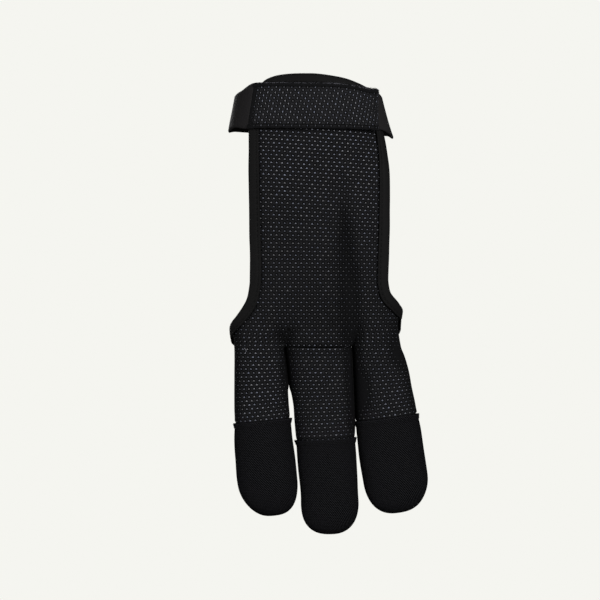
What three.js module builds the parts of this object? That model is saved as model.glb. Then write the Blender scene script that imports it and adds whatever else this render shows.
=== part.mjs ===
// A three-finger archery glove in the shape that it has when worn, in millimetres, +Z up.
// The fingers point down, the palm side faces -Y, and the thumb side is -X.
// The origin is the middle of the wrist opening, at the middle of the strap's height.
// Each piece is a sheet of cloth: points on its outer side, thickened towards the hand.
import * as THREE from "three";

// The hand form that the glove holds
const palmDrop = 107.5; // middle of the strap down to the roots of the fingers
const handBreadth = 86; // across the hand
const handDepth = 34; // palm to back
const indexReach = 75.9; // finger root to the end of the index cap
const middleReach = 84;
const ringReach = 74.5;
const formSquare = 2.4; // 2 is an ellipse, more is squarer
const fingerSquare = 2.2;
const tipSquare = 2.5;

// Cloth
const meshWall = 1.3; // laminated air mesh of the palm side
const backWall = 1.1; // plain stretch cloth of the finger backs
const gussetWall = 1.0;
const capWall = 1.05; // heavy woven cloth of the fingertips
const capHemExtra = 0.35; // how far the turned hem of a cap stands out
const capHemHeight = 2.6;
const capHemStep = 0.5; // the hem steps down to the cap over this height
const tapeWall = 0.8; // binding tape, folded over the edges
const tapeWidth = 4.2;
const strapWall = 1.2;
const padWall = 0.8; // hook-and-loop pad under the tab
const seamGap = 0.3; // between pieces that are sewn edge to edge
const fitGap = 0.35; // between pieces that lie face to face
const tapeGap = 0.45; // between a binding and the edge that it folds over
const backTapeTrim = 6.6; // the tape across the finger backs ends this far from the side tapes' edges

// Palm panel and finger backs
const panelWidth = 61; // palm panel between its bound edges
const archRise = 4.8; // the top edge rises this much between its corners
const archLean = 0.6; // more of the rise on the thumb side
const archFullness = 0.8; // 1 is a parabola, less has fuller shoulders
const panelColumns = 7; // cells across each finger's share of a panel
const panelRows = 22; // cells down the bound edges
const backRows = 4; // cells from the bound edge of the finger backs to the finger roots
const legRows = 7;

// Fingers
const capLength = 42.6; // hem to the end of the cap
const tuck = 6; // the finger tubes run this far into the caps
const tuckBlend = 2.4;
const tipRound = 15; // length over which a cap rounds off
const frontSeam = { web: 76, below: 76 }; // degrees round a finger to the seams of the strips
const backSeam = { web: 70, below: 54 }; // between the fingers, at the root and further down
const palmSeamTurn = 48; // what the seam's line runs out to in the palm
const webBlend = 16;
const palmSeamBlend = 9;
const webRise = 0.4; // arch of the web between two fingers
const webTrimBlend = 4; // the strips keep clear of the panels over this length below the web
const rootBlend = 27; // the palm turns into three fingers over this height
const backBridge = 0.42; // how far the cloth of the finger backs bridges the grooves between the fingers
const capColumns = 16;
const TIP_ROWS = [0.2, 0.4, 0.58, 0.75, 0.89, 1]; // shares of the way round a fingertip

// Wrist strap
const tabWidth = 20.8;
const bandWidth = 16.6; // over the back and the thumb side
const bandRootWidth = 18.8; // at the band's sewn end
const tabHem = 2.2;
const tabHemExtra = 0.3;
const tabHemStep = 0.4; // the tab's hems step down to the mesh over this width
const padWidth = 12;
const padLength = 17;
const padCentre = -4; // across, from the middle of the wrist

// drop: share of palmDrop below the strap's middle.
// centre, half: shares of handBreadth. palm, back: shares of handDepth.
const PALM_FORM = [
  { drop: -0.16, centre: -0.02, half: 0.33, palm: 0.565, back: 0.5 },
  { drop: -0.05, centre: -0.019, half: 0.356, palm: 0.6, back: 0.53 },
  { drop: 0.1, centre: -0.011, half: 0.4, palm: 0.64, back: 0.56 },
  { drop: 0.28, centre: 0.015, half: 0.462, palm: 0.64, back: 0.54 },
  { drop: 0.56, centre: 0.03, half: 0.485, palm: 0.56, back: 0.48 },
  { drop: 0.8, centre: 0.022, half: 0.464, palm: 0.5, back: 0.43 },
  { drop: 0.93, centre: 0.016, half: 0.437, palm: 0.47, back: 0.39 },
  { drop: 1, centre: 0.018, half: 0.432, palm: 0.45, back: 0.36 },
];

// The bound edges of the palm panel, from its top corners to the sides of the fingers.
// row: share of the way to the finger roots. across: share of panelWidth. drop: share of palmDrop.
// flare: how far the edge has turned round to the side of the hand.
const THUMB_EDGE = [
  { row: 0, across: -0.352, drop: -0.093, flare: 0 },
  { row: 0.05, across: -0.41, drop: -0.043, flare: 0 },
  { row: 0.11, across: -0.436, drop: 0.028, flare: 0 },
  { row: 0.2, across: -0.446, drop: 0.115, flare: 0 },
  { row: 0.32, across: -0.448, drop: 0.245, flare: 0 },
  { row: 0.52, across: -0.445, drop: 0.465, flare: 0 },
  { row: 0.7, across: -0.438, drop: 0.665, flare: 0 },
  { row: 0.78, across: -0.442, drop: 0.752, flare: 0.01 },
  { row: 0.84, across: -0.448, drop: 0.818, flare: 0.11 },
  { row: 0.9, across: -0.456, drop: 0.878, flare: 0.42 },
  { row: 0.95, across: -0.456, drop: 0.935, flare: 1 },
  { row: 1, across: -0.456, drop: 1, flare: 1 },
];
const LITTLE_EDGE = [
  { row: 0, across: 0.43, drop: -0.057, flare: 0 },
  { row: 0.05, across: 0.455, drop: -0.016, flare: 0 },
  { row: 0.11, across: 0.475, drop: 0.045, flare: 0 },
  { row: 0.2, across: 0.512, drop: 0.12, flare: 0 },
  { row: 0.32, across: 0.546, drop: 0.245, flare: 0 },
  { row: 0.52, across: 0.553, drop: 0.465, flare: 0 },
  { row: 0.7, across: 0.546, drop: 0.665, flare: 0 },
  { row: 0.78, across: 0.544, drop: 0.742, flare: 0.01 },
  { row: 0.84, across: 0.553, drop: 0.788, flare: 0.09 },
  { row: 0.9, across: 0.57, drop: 0.828, flare: 0.43 },
  { row: 0.95, across: 0.57, drop: 0.87, flare: 1 },
  { row: 1, across: 0.57, drop: 1, flare: 1 },
];
const SIDE_ROW = 0.95; // where these edges reach the sides of the fingers

// How much of the top edge's arch is left at each row of the panel
const ARCH = [
  { row: 0, share: 1 },
  { row: 0.05, share: 0.88 },
  { row: 0.11, share: 0.6 },
  { row: 0.2, share: 0.3 },
  { row: 0.32, share: 0.08 },
  { row: 0.45, share: 0 },
];

// The bound edge across the backs of the fingers, from the thumb side to the little side of the hand.
// At both ends it meets the palm panel's edges. drop: share of palmDrop.
const BACK_EDGE = [
  { across: 0.06, drop: 0.953 },
  { across: 0.14, drop: 0.968 },
  { across: 0.22, drop: 0.972 },
  { across: 0.4, drop: 0.958 },
  { across: 0.51, drop: 0.966 },
  { across: 0.62, drop: 0.955 },
  { across: 0.8, drop: 0.948 },
  { across: 0.92, drop: 0.91 },
];

// Hollows and pads of the palm. across, wide: shares of handBreadth. drop, tall: shares of palmDrop.
// deep: share of handDepth, in towards the hand.
const PALM_RELIEF = [
  { across: 0.02, drop: 0.55, wide: 0.26, tall: 0.26, deep: 0.045 }, // hollow of the palm
  { across: 0.2, drop: 0.72, wide: 0.05, tall: 0.24, deep: 0.035 }, // fold down to the ring finger
  { across: -0.26, drop: 0.9, wide: 0.1, tall: 0.08, deep: -0.045 }, // pad under the index finger
  { across: 0.33, drop: 0.9, wide: 0.09, tall: 0.08, deep: -0.04 }, // pad under the ring finger
];

// Fingers. along: share of the finger's reach from its root, less than 0 in the palm.
// centre, half: shares of handBreadth.
// depth: half of the finger's depth, forward: towards the palm side, both shares of handDepth.
const INDEX_ROWS = [
  { along: -0.15, centre: -0.2845, half: 0.138, depth: 0.3, forward: 0.08 },
  { along: 0, centre: -0.2757, half: 0.1324, depth: 0.3, forward: 0.08 },
  { along: 0.15, centre: -0.269, half: 0.1392, depth: 0.298, forward: 0.087 },
  { along: 0.34, centre: -0.2643, half: 0.1439, depth: 0.293, forward: 0.105 },
  { along: 0.43, centre: -0.2597, half: 0.146, depth: 0.293, forward: 0.12 },
  { along: 0.53, centre: -0.2564, half: 0.1518, depth: 0.3, forward: 0.138 },
  { along: 0.65, centre: -0.2465, half: 0.1555, depth: 0.295, forward: 0.165 },
  { along: 0.82, centre: -0.2305, half: 0.1565, depth: 0.28, forward: 0.215 },
  { along: 1, centre: -0.1965, half: 0.1475, depth: 0.26, forward: 0.28 },
];
const MIDDLE_ROWS = [
  { along: -0.15, centre: 0.0356, half: 0.1755, depth: 0.31, forward: 0.09 },
  { along: 0, centre: 0.0356, half: 0.1753, depth: 0.31, forward: 0.09 },
  { along: 0.13, centre: 0.0453, half: 0.1709, depth: 0.306, forward: 0.097 },
  { along: 0.22, centre: 0.0523, half: 0.1674, depth: 0.303, forward: 0.105 },
  { along: 0.31, centre: 0.0612, half: 0.1609, depth: 0.299, forward: 0.12 },
  { along: 0.39, centre: 0.0641, half: 0.1583, depth: 0.297, forward: 0.135 },
  { along: 0.5, centre: 0.0712, half: 0.1553, depth: 0.3, forward: 0.16 },
  { along: 0.65, centre: 0.082, half: 0.1538, depth: 0.295, forward: 0.2 },
  { along: 0.82, centre: 0.0922, half: 0.1512, depth: 0.28, forward: 0.25 },
  { along: 1, centre: 0.0975, half: 0.164, depth: 0.26, forward: 0.32 },
];
const RING_ROWS = [
  { along: -0.15, centre: 0.33, half: 0.12, depth: 0.29, forward: 0.07 },
  { along: 0, centre: 0.3414, half: 0.1269, depth: 0.29, forward: 0.075 },
  { along: 0.06, centre: 0.352, half: 0.1357, depth: 0.29, forward: 0.079 },
  { along: 0.15, centre: 0.3645, half: 0.1443, depth: 0.29, forward: 0.087 },
  { along: 0.25, centre: 0.3735, half: 0.1495, depth: 0.29, forward: 0.1 },
  { along: 0.34, centre: 0.3832, half: 0.1555, depth: 0.29, forward: 0.114 },
  { along: 0.4, centre: 0.389, half: 0.159, depth: 0.29, forward: 0.125 },
  { along: 0.49, centre: 0.3995, half: 0.1662, depth: 0.298, forward: 0.142 },
  { along: 0.59, centre: 0.4112, half: 0.1695, depth: 0.297, forward: 0.168 },
  { along: 0.68, centre: 0.4212, half: 0.1698, depth: 0.292, forward: 0.195 },
  { along: 0.82, centre: 0.439, half: 0.168, depth: 0.28, forward: 0.24 },
  { along: 1, centre: 0.451, half: 0.165, depth: 0.26, forward: 0.3 },
];
const FINGERS = {
  index: { reach: indexReach, rows: INDEX_ROWS, lean: 5.6 },
  middle: { reach: middleReach, rows: MIDDLE_ROWS, lean: 2.6 },
  ring: { reach: ringReach, rows: RING_ROWS, lean: 7.4 },
};

// Where the fingers share the section of the hand, as a share of the front from the thumb side
// to the little side
const INDEX_TO_MIDDLE = 0.403;
const MIDDLE_TO_RING = 0.619;

// The strap's middle line round the wrist. turn: degrees from the front, over the little side.
// lift: share of tabWidth.
const STRAP_LINE = [
  { turn: -180, lift: -0.12 },
  { turn: -90, lift: -0.105 },
  { turn: -45, lift: 0.01 },
  { turn: 0, lift: 0 },
  { turn: 30, lift: -0.01 },
  { turn: 60, lift: -0.05 },
  { turn: 90, lift: -0.188 },
  { turn: 120, lift: -0.18 },
  { turn: 180, lift: -0.12 },
];
const tabStart = -45; // degrees round the wrist, where the band ends and the tab begins
const tabEnd = 55;
const tabEndLean = 6; // the tab's end runs on by this many degrees at its top and stops short at its foot
const tabDroop = { by: 2.8, from: 10, to: 70 }; // the tab's top edge sinks over these degrees
const bandStart = 40; // the band's sewn end, under the tab
const bandNarrowing = { from: 100, to: 160 }; // degrees over which the band turns narrower
const tabWidening = 22; // degrees over which the band widens to the tab
const tabClimb = { from: 24, to: 4 }; // degrees before bandStart over which the tab climbs on the band
const bandCells = 30;
const tabCells = 18;

const DEGREE = Math.PI / 180;
const tapeStand = tapeGap + tapeWall; // how far a binding stands out from the cloth
const strapStand = tapeStand + fitGap; // inner side of the strap, from the cloth
const lerp = (a, b, t) => a + (b - a) * t;
const clamp01 = (x) => Math.min(1, Math.max(0, x));

function smooth(from, to, x) {
  const t = clamp01((x - from) / (to - from));
  return t * t * (3 - 2 * t);
}

// A table's column at any place between its rows, on a smooth curve through them.
function read(rows, key, column, at) {
  const last = rows.length - 1;
  if (at <= rows[0][key]) return rows[0][column];
  if (at >= rows[last][key]) return rows[last][column];
  let i = 0;
  while (rows[i + 1][key] < at) i++;
  const slope = (j) => {
    const before = rows[Math.max(0, j - 1)];
    const after = rows[Math.min(last, j + 1)];
    return (after[column] - before[column]) / (after[key] - before[key]);
  };
  const span = rows[i + 1][key] - rows[i][key];
  const t = (at - rows[i][key]) / span;
  const [t2, t3] = [t * t, t * t * t];
  return (
    (2 * t3 - 3 * t2 + 1) * rows[i][column] +
    (t3 - 2 * t2 + t) * span * slope(i) +
    (3 * t2 - 2 * t3) * rows[i + 1][column] +
    (t3 - t2) * span * slope(i + 1)
  );
}

const signedPower = (x, p) => Math.sign(x) * Math.abs(x) ** p;

// The hand form's section at a height.
function palmSection(z) {
  const drop = -z / palmDrop;
  const at = (column) => read(PALM_FORM, "drop", column, drop);
  return {
    centre: at("centre") * handBreadth,
    half: at("half") * handBreadth,
    palm: at("palm") * handDepth,
    back: at("back") * handDepth,
  };
}

// How far the palm side is pushed in at a place.
function palmRelief(x, z) {
  return PALM_RELIEF.reduce((sum, r) => {
    const dx = (x - r.across * handBreadth) / (r.wide * handBreadth);
    const dz = (z + r.drop * palmDrop) / (r.tall * palmDrop);
    return sum + r.deep * handDepth * Math.exp(-dx * dx - dz * dz);
  }, 0);
}

// A point of the hand form. place runs round the hand: 0 is the thumb side, 0.5 the middle of the
// palm, 1 the little side, 1.5 the back.
function palmPoint(place, z) {
  const s = palmSection(z);
  const turn = (place - 0.5) * Math.PI;
  const front = Math.cos(turn);
  const x = s.centre + s.half * signedPower(Math.sin(turn), 2 / formSquare);
  const out = signedPower(front, 2 / formSquare);
  const y = out > 0 ? -s.palm * out + palmRelief(x, z) * out : -s.back * out;
  return new THREE.Vector3(x, y, z);
}

// The place on the palm side where the hand form has a given x.
function placeOfX(x, z) {
  const s = palmSection(z);
  const share = Math.max(-1, Math.min(1, (x - s.centre) / s.half));
  return 0.5 + Math.asin(signedPower(share, formSquare / 2)) / Math.PI;
}

// How much narrower the finger tube is than the finger's outline, so that its end fits into the cap.
function tubeInset(finger, along) {
  const hem = finger.reach - capLength;
  return (capWall + fitGap) * smooth(hem - tuckBlend, hem - seamGap, along);
}

// A point round a finger: turn is in degrees from the palm side towards the little side, along is
// from the root.
function fingerPoint(finger, turn, along, inset = 0, tip = 0) {
  const share = along / finger.reach;
  const at = (column) => read(finger.rows, "along", column, share);
  const shrink = Math.cos(tip * 0.5 * Math.PI) ** (2 / tipSquare);
  const half = (at("half") * handBreadth - inset) * shrink;
  const depth = (at("depth") * handDepth - inset) * shrink;
  const centre = at("centre") * handBreadth;
  const x = half * signedPower(Math.sin(turn * DEGREE), 2 / fingerSquare);
  const y = -depth * signedPower(Math.cos(turn * DEGREE), 2 / fingerSquare);
  const hem = finger.reach - capLength;
  const lean = Math.tan(finger.lean * DEGREE) * smooth(0, hem, along);
  return new THREE.Vector3(centre + x, y - at("forward") * handDepth, -palmDrop - along + x * lean);
}

// A seam between the palm side or the finger backs and a gusset, in degrees round the finger from
// the middle of that side.
function seamAt(seam, along) {
  if (along < 0) return lerp(seam.web, palmSeamTurn, smooth(0, palmSeamBlend, -along));
  return lerp(seam.web, seam.below, smooth(0, webBlend, along));
}

// What the hand form turns into at the finger roots. place is as in palmPoint.
function rootPoint(place, z) {
  const onBack = place > 1;
  const seam = seamAt(onBack ? backSeam : frontSeam, -palmDrop - z);
  const mirrored = onBack ? 2 - place : place;
  const across = (finger, from, to, low, high) => {
    const turn = lerp(from, to, (mirrored - low) / (high - low));
    const p = fingerPoint(finger, onBack ? 180 - turn : turn, Math.min(0, -palmDrop - z));
    return p.setZ(z);
  };
  const index = () => across(FINGERS.index, -90, seam, 0, INDEX_TO_MIDDLE);
  const middle = () => across(FINGERS.middle, -seam, seam, INDEX_TO_MIDDLE, MIDDLE_TO_RING);
  const ring = () => across(FINGERS.ring, -seam, 90, MIDDLE_TO_RING, 1);
  const near = (a, b) => Math.abs(a - b) < 1e-6;
  if (near(mirrored, INDEX_TO_MIDDLE)) return index().lerp(middle(), 0.5);
  if (near(mirrored, MIDDLE_TO_RING)) return middle().lerp(ring(), 0.5);
  if (mirrored < INDEX_TO_MIDDLE) return index();
  return mirrored < MIDDLE_TO_RING ? middle() : ring();
}

// The outer side of the cloth of the palm panel and of the finger backs above the roots.
function skin(place, z) {
  const wrapped = place < 0 ? place + 2 : place;
  const bridged = wrapped > 1 ? 1 - backBridge * Math.sin(Math.PI * (wrapped - 1)) : 1;
  const share = bridged * (1 - smooth(-palmDrop, -palmDrop + rootBlend, z));
  const p = palmPoint(wrapped, z);
  return share > 0 ? p.lerp(rootPoint(wrapped, z), share) : p;
}

// A point of a surface with the direction away from the hand there. The surface is walked to the
// right and down.
function spot(surface, across, down, stepAcross, stepDown) {
  const right = surface(across + stepAcross, down).sub(surface(across - stepAcross, down));
  const below = surface(across, down + stepDown).sub(surface(across, down - stepDown));
  return { at: surface(across, down), out: below.cross(right).normalize() };
}

const onSkin = (place, z) => spot(skin, place, z, 0.002, -0.2);

function onFinger(finger, turn, along, inset = 0) {
  return spot((t, a) => fingerPoint(finger, t, a, inset), turn, along, 0.5, 0.2);
}

const moved = (from, direction, by) => from.clone().addScaledVector(direction, by);

// A sheet of cloth: patches of points that are joined where they meet, thickened by wall towards
// the hand.
// A point without a direction of its own takes that of the faces round it.
function sheet(patches, wall) {
  const points = [];
  const known = new Map();
  const vertex = (point) => {
    const key = [point.at.x, point.at.y, point.at.z].map((c) => Math.round(c * 500)).join();
    if (!known.has(key)) {
      known.set(key, points.length);
      points.push(point);
    }
    return known.get(key);
  };
  const faces = [];
  const face = (a, b, c) => {
    if (a !== b && b !== c && a !== c) faces.push([a, b, c]);
  };
  for (const patch of patches) {
    const ids = patch.map((row) => row.map(vertex));
    for (let j = 0; j + 1 < ids.length; j++) {
      for (let i = 0; i + 1 < ids[j].length; i++) {
        face(ids[j][i], ids[j + 1][i], ids[j + 1][i + 1]);
        face(ids[j][i], ids[j + 1][i + 1], ids[j][i + 1]);
      }
    }
  }
  const normals = points.map(() => new THREE.Vector3());
  for (const [a, b, c] of faces) {
    const ab = points[b].at.clone().sub(points[a].at);
    const n = ab.cross(points[c].at.clone().sub(points[a].at));
    for (const v of [a, b, c]) normals[v].add(n);
  }
  const inner = points.map((p, v) => moved(p.at, p.out ?? normals[v].normalize(), -wall));
  const count = points.length;
  const edges = new Set(faces.flatMap(([a, b, c]) => [`${a},${b}`, `${b},${c}`, `${c},${a}`]));
  const index = [];
  for (const [a, b, c] of faces) {
    index.push(a, b, c, a + count, c + count, b + count);
    for (const [from, to] of [[a, b], [b, c], [c, a]]) {
      if (!edges.has(`${to},${from}`)) {
        index.push(to, from, from + count, to, from + count, to + count);
      }
    }
  }
  const geometry = new THREE.BufferGeometry();
  const flat = [...points.map((p) => p.at), ...inner].flatMap((p) => [p.x, p.y, p.z]);
  geometry.setAttribute("position", new THREE.Float32BufferAttribute(flat, 3));
  geometry.setIndex(index);
  return geometry;
}

const steps = (count) => Array.from({ length: count + 1 }, (_, i) => i / count);

// The palm panel's bound edge on one side at a row, as a place and a height.
function edgeAt(row, rows, side) {
  const z = -read(rows, "row", "drop", row) * palmDrop;
  const onPanel = placeOfX(read(rows, "row", "across", row) * panelWidth, z);
  return { place: lerp(onPanel, side, clamp01(read(rows, "row", "flare", row))), z };
}
const thumbEdge = (row) => edgeAt(row, THUMB_EDGE, 0);
const littleEdge = (row) => edgeAt(row, LITTLE_EDGE, 1);

// The height of the bound edge across the finger backs.
const backEnds = [
  { across: 0, drop: -thumbEdge(SIDE_ROW).z / palmDrop },
  { across: 1, drop: -littleEdge(SIDE_ROW).z / palmDrop },
];
const backEdge = [backEnds[0], ...BACK_EDGE, backEnds[1]];
const backHeight = (across) => -read(backEdge, "across", "drop", across) * palmDrop;

// How much of the arch's full rise the top edge has at a share of its way from the thumb side.
const archAt = (s) => (4 * s * (1 - s)) ** archFullness * (1 + archLean * (0.5 - s));

const sideTrim = seamGap / (handBreadth * Math.PI); // half a seam's gap at the side of the hand, as a place

// Places across the hand, with as many cells for each finger.
function spread(low, splitA, splitB, high) {
  const cells = steps(panelColumns).slice(1);
  return [low, ...[[low, splitA], [splitA, splitB], [splitB, high]].flatMap(([from, to]) =>
    cells.map((t) => lerp(from, to, t)),
  )];
}

// Rows closer together where the edges turn, so that the flares stay round.
const turned = (t) => lerp(t, 1 - (1 - t) ** 1.5, 0.5);

const edgeRows = steps(panelRows).map((t) => SIDE_ROW * turned(t));

// The palm panel from its top edge to the finger roots.
function palmPatch() {
  return [...edgeRows, (SIDE_ROW + 1) / 2, 1].map((row) => {
    const [thumb, little] = [thumbEdge(row), littleEdge(row)];
    const trim = row < SIDE_ROW ? 0 : sideTrim * 2;
    const [low, high] = [thumb.place + trim, little.place - trim];
    const settle = smooth(0.45, 1, row);
    const splitA = lerp(lerp(low, high, 1 / 3), INDEX_TO_MIDDLE, settle);
    const splitB = lerp(lerp(low, high, 2 / 3), MIDDLE_TO_RING, settle);
    const places = spread(low, splitA, splitB, high);
    const rise = read(ARCH, "row", "share", row) * archRise;
    return places.map((place, i) => {
      const s = i / (places.length - 1);
      return onSkin(place, lerp(thumb.z, little.z, s) + rise * archAt(s));
    });
  });
}

// The finger backs above the roots, from the little side to the thumb side.
function backPatch() {
  const places = spread(sideTrim * 2, INDEX_TO_MIDDLE, MIDDLE_TO_RING, 1 - sideTrim * 2).reverse();
  return steps(backRows).map((t) =>
    places.map((place) => onSkin(2 - place, lerp(backHeight(place), -palmDrop, t))),
  );
}

// One finger's part of a sheet, from firstRow at its root to where it ends inside the cap.
function legPatch(finger, fromTurn, toTurn, firstRow) {
  const end = finger.reach - capLength + tuck;
  const rows = steps(legRows).slice(1).map((t) => {
    const along = end * t;
    const inset = tubeInset(finger, along);
    return steps(panelColumns).map((s) => {
      return onFinger(finger, lerp(fromTurn(along), toTurn(along), s), along, inset);
    });
  });
  return [firstRow, ...rows];
}

const usualHalf = 0.14 * handBreadth; // half of a finger's breadth, about
const usualDepth = 0.3 * handDepth; // half of a finger's depth, about
const halfSeam = seamGap / 2 / usualHalf / DEGREE; // degrees of half a seam's gap round a finger
const sideTurn = 90 - halfSeam; // the seam on the outer side of the index and ring fingers
const innerSeam = (along) => seamAt(frontSeam, along) - halfSeam;
const innerBackSeam = (along) => seamAt(backSeam, along) - halfSeam;
const columnsOf = (row, finger) => row.slice(finger * panelColumns, (finger + 1) * panelColumns + 1);

function palmPanel() {
  const palm = palmPatch();
  const root = palm[palm.length - 1];
  const index = legPatch(FINGERS.index, () => -sideTurn, innerSeam, columnsOf(root, 0));
  const ring = legPatch(FINGERS.ring, (a) => -innerSeam(a), () => sideTurn, columnsOf(root, 2));
  return sheet([palm, index, ring], meshWall);
}

// The front of the middle finger, a piece of its own below a seam across the finger's root.
function middleFront() {
  const start = 2 * seamGap;
  const root = columnsOf(palmPatch().pop(), 1);
  const first = root.map((p) => ({ at: p.at.clone().setZ(p.at.z - start), out: p.out }));
  first[0] = onFinger(FINGERS.middle, -innerSeam(start), start);
  first[panelColumns] = onFinger(FINGERS.middle, innerSeam(start), start);
  return sheet([legPatch(FINGERS.middle, (a) => -innerSeam(a), innerSeam, first)], meshWall);
}

// The backs of the three fingers in one piece.
function fingerBacks() {
  const back = backPatch();
  const root = back[back.length - 1];
  const behind = (a) => 180 - innerBackSeam(a);
  const beyond = (a) => 180 + innerBackSeam(a);
  const ring = legPatch(FINGERS.ring, () => 180 - sideTurn, beyond, columnsOf(root, 0));
  const middle = legPatch(FINGERS.middle, behind, beyond, columnsOf(root, 1));
  const index = legPatch(FINGERS.index, behind, () => 180 + sideTurn, columnsOf(root, 2));
  return sheet([back, ring, middle, index], backWall);
}

// The strip between two fingers: down one finger's inner side, over the web and down the next.
function gusset(first, second) {
  const webStart = gussetWall + 2 * seamGap; // the web hangs this far under the panels
  const webTrim = (meshWall + seamGap) / usualDepth / DEGREE; // clears the panels at the web
  const cells = steps(3);
  const strip = (finger, along, sign) => {
    const trim = halfSeam + webTrim * (1 - smooth(0, webTrimBlend, along - webStart));
    const from = seamAt(frontSeam, along) + trim;
    const to = 180 - seamAt(backSeam, along) - trim;
    const inset = tubeInset(finger, along);
    return cells.map((t) => onFinger(finger, sign * lerp(from, to, t), along, inset));
  };
  const end = (finger) => finger.reach - capLength + tuck;
  const up = steps(legRows).map((t) => strip(first, lerp(end(first), webStart, t), 1));
  const down = steps(legRows).map((t) => strip(second, lerp(webStart, end(second), t), -1));
  const web = [0.25, 0.5, 0.75].map((t) =>
    cells.map((_, i) => {
      const at = up[legRows][i].at.clone().lerp(down[0][i].at, t);
      const out = new THREE.Vector3(Math.cos(Math.PI * t), 0, -Math.sin(Math.PI * t));
      return { at: at.setZ(at.z + webRise * Math.sin(Math.PI * t)), out };
    }),
  );
  return sheet([[...up, ...web, ...down].map((row) => row.slice().reverse())], gussetWall);
}

// A fingertip: a thimble of woven cloth with a turned hem.
function cap(finger) {
  const hem = finger.reach - capLength;
  const straight = capLength - tipRound;
  const rings = [
    { along: hem, out: capHemExtra },
    { along: hem + capHemHeight - capHemStep, out: capHemExtra },
    { along: hem + capHemHeight, out: 0 },
    ...steps(4).slice(1).map((t) => ({ along: hem + lerp(capHemHeight, straight, t), out: 0 })),
  ];
  const round = steps(capColumns).map((t) => (t % 1) * 360);
  const rows = rings.map((r) => {
    return round.map((turn) => ({ at: fingerPoint(finger, turn, r.along, -r.out) }));
  });
  for (const tip of TIP_ROWS) {
    const along = hem + straight + tipRound * Math.sin(tip * 0.5 * Math.PI);
    rows.push(round.map((turn) => ({ at: fingerPoint(finger, turn, along, 0, tip) })));
  }
  return sheet([rows], capWall);
}

// The place and height on the cloth that lie a short way from a stop, given as a step in space.
function stepOnCloth(stop, step) {
  const [dp, dz] = [0.004, 0.4];
  const sides = [skin(stop.place + dp, stop.z), skin(stop.place - dp, stop.z)];
  const ends = [skin(stop.place, stop.z + dz), skin(stop.place, stop.z - dz)];
  const byPlace = sides[0].sub(sides[1]).divideScalar(2 * dp);
  const byHeight = ends[0].sub(ends[1]).divideScalar(2 * dz);
  const [a, b, c] = [byPlace.dot(byPlace), byPlace.dot(byHeight), byHeight.dot(byHeight)];
  const [p, q] = [byPlace.dot(step), byHeight.dot(step)];
  const scale = a * c - b * b;
  return { place: stop.place + (c * p - b * q) / scale, z: stop.z + (a * q - b * p) / scale };
}

// Binding tape folded over an edge of a sheet with this wall. The cloth lies to the right of the
// stops' way.
function binding(stops, wall) {
  const edges = stops.map((s) => onSkin(s.place, s.z));
  const last = edges.length - 1;
  const rows = edges.map((edge, i) => {
    const way = edges[Math.min(last, i + 1)].at.clone().sub(edges[Math.max(0, i - 1)].at);
    const inward = edge.out.clone().cross(way).normalize().negate();
    const leg = [1, 0.5, 0].map((share) => {
      const stop = stepOnCloth(stops[i], inward.clone().multiplyScalar(tapeWidth * share));
      return onSkin(stop.place, stop.z);
    });
    const nose = moved(moved(edge.at, inward, -tapeStand), edge.out, -wall / 2);
    return [
      ...leg.map(({ at, out }) => ({ at: moved(at, out, tapeStand), out })),
      { at: nose, out: inward.clone().negate() },
      ...leg.reverse().map(({ at, out }) => ({
        at: moved(at, out, -wall - tapeStand),
        out: out.clone().negate(),
      })),
    ];
  });
  return sheet([rows], tapeWall);
}

const topCorner = 0.045; // the side tapes start at this row, below the tape along the top
const topCells = 15;

// The tape down one bound edge of the palm panel, from the top corner to the side of the finger.
function edgeStops(edge) {
  return [topCorner, ...edgeRows.filter((row) => row > topCorner)].map(edge);
}

// The tape along the arched top edge of the palm panel, from the thumb side.
function topStops() {
  const [thumb, little] = [thumbEdge(0), littleEdge(0)];
  return steps(topCells).map((t) => ({
    place: lerp(thumb.place, little.place, t),
    z: lerp(thumb.z, little.z, t) + archRise * archAt(t),
  }));
}

// The tape across the backs of the fingers, from the little side to the thumb side.
function backStops() {
  const end = backTapeTrim / (handBreadth * Math.PI);
  const places = spread(end, INDEX_TO_MIDDLE, MIDDLE_TO_RING, 1 - end).reverse();
  return places.map((across) => ({ place: 2 - across, z: backHeight(across) }));
}

// A point of the strap. turn: degrees from the front over the little side. out: distance from the
// cloth under it.
function strapPoint(turn, height, out) {
  const lift = read(STRAP_LINE, "turn", "lift", turn > 180 ? turn - 360 : turn) * tabWidth;
  const s = palmSection(lift + height);
  const across = signedPower(Math.sin(turn * DEGREE), 2 / formSquare);
  const front = signedPower(Math.cos(turn * DEGREE), 2 / formSquare);
  const depth = (front > 0 ? s.palm : s.back) + out;
  return new THREE.Vector3(s.centre + (s.half + out) * across, -depth * front, lift + height);
}

function onStrap(turn, height, out) {
  return spot((t, h) => strapPoint(t, -h, out), turn, -height, 1, 0.3);
}

const strapOut = strapStand + strapWall; // outer side of the band, from the cloth
const strapGap = seamGap / palmSection(0).half / DEGREE; // degrees between the band and the tab's root

// The elastic band: from its sewn end under the tab, over the little side and the back, to the
// tab's root.
function strapBand() {
  const end = 360 + tabStart - strapGap;
  const rows = steps(bandCells).map((t) => {
    const turn = lerp(bandStart, end, t);
    const root = lerp(bandRootWidth, bandWidth, smooth(bandNarrowing.from, bandNarrowing.to, turn));
    const half = lerp(root, tabWidth, smooth(end - tabWidening, end, turn)) / 2;
    return steps(3).map((s) => onStrap(turn, lerp(-half, half, s), strapOut));
  });
  return sheet([rows], strapWall);
}

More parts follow.
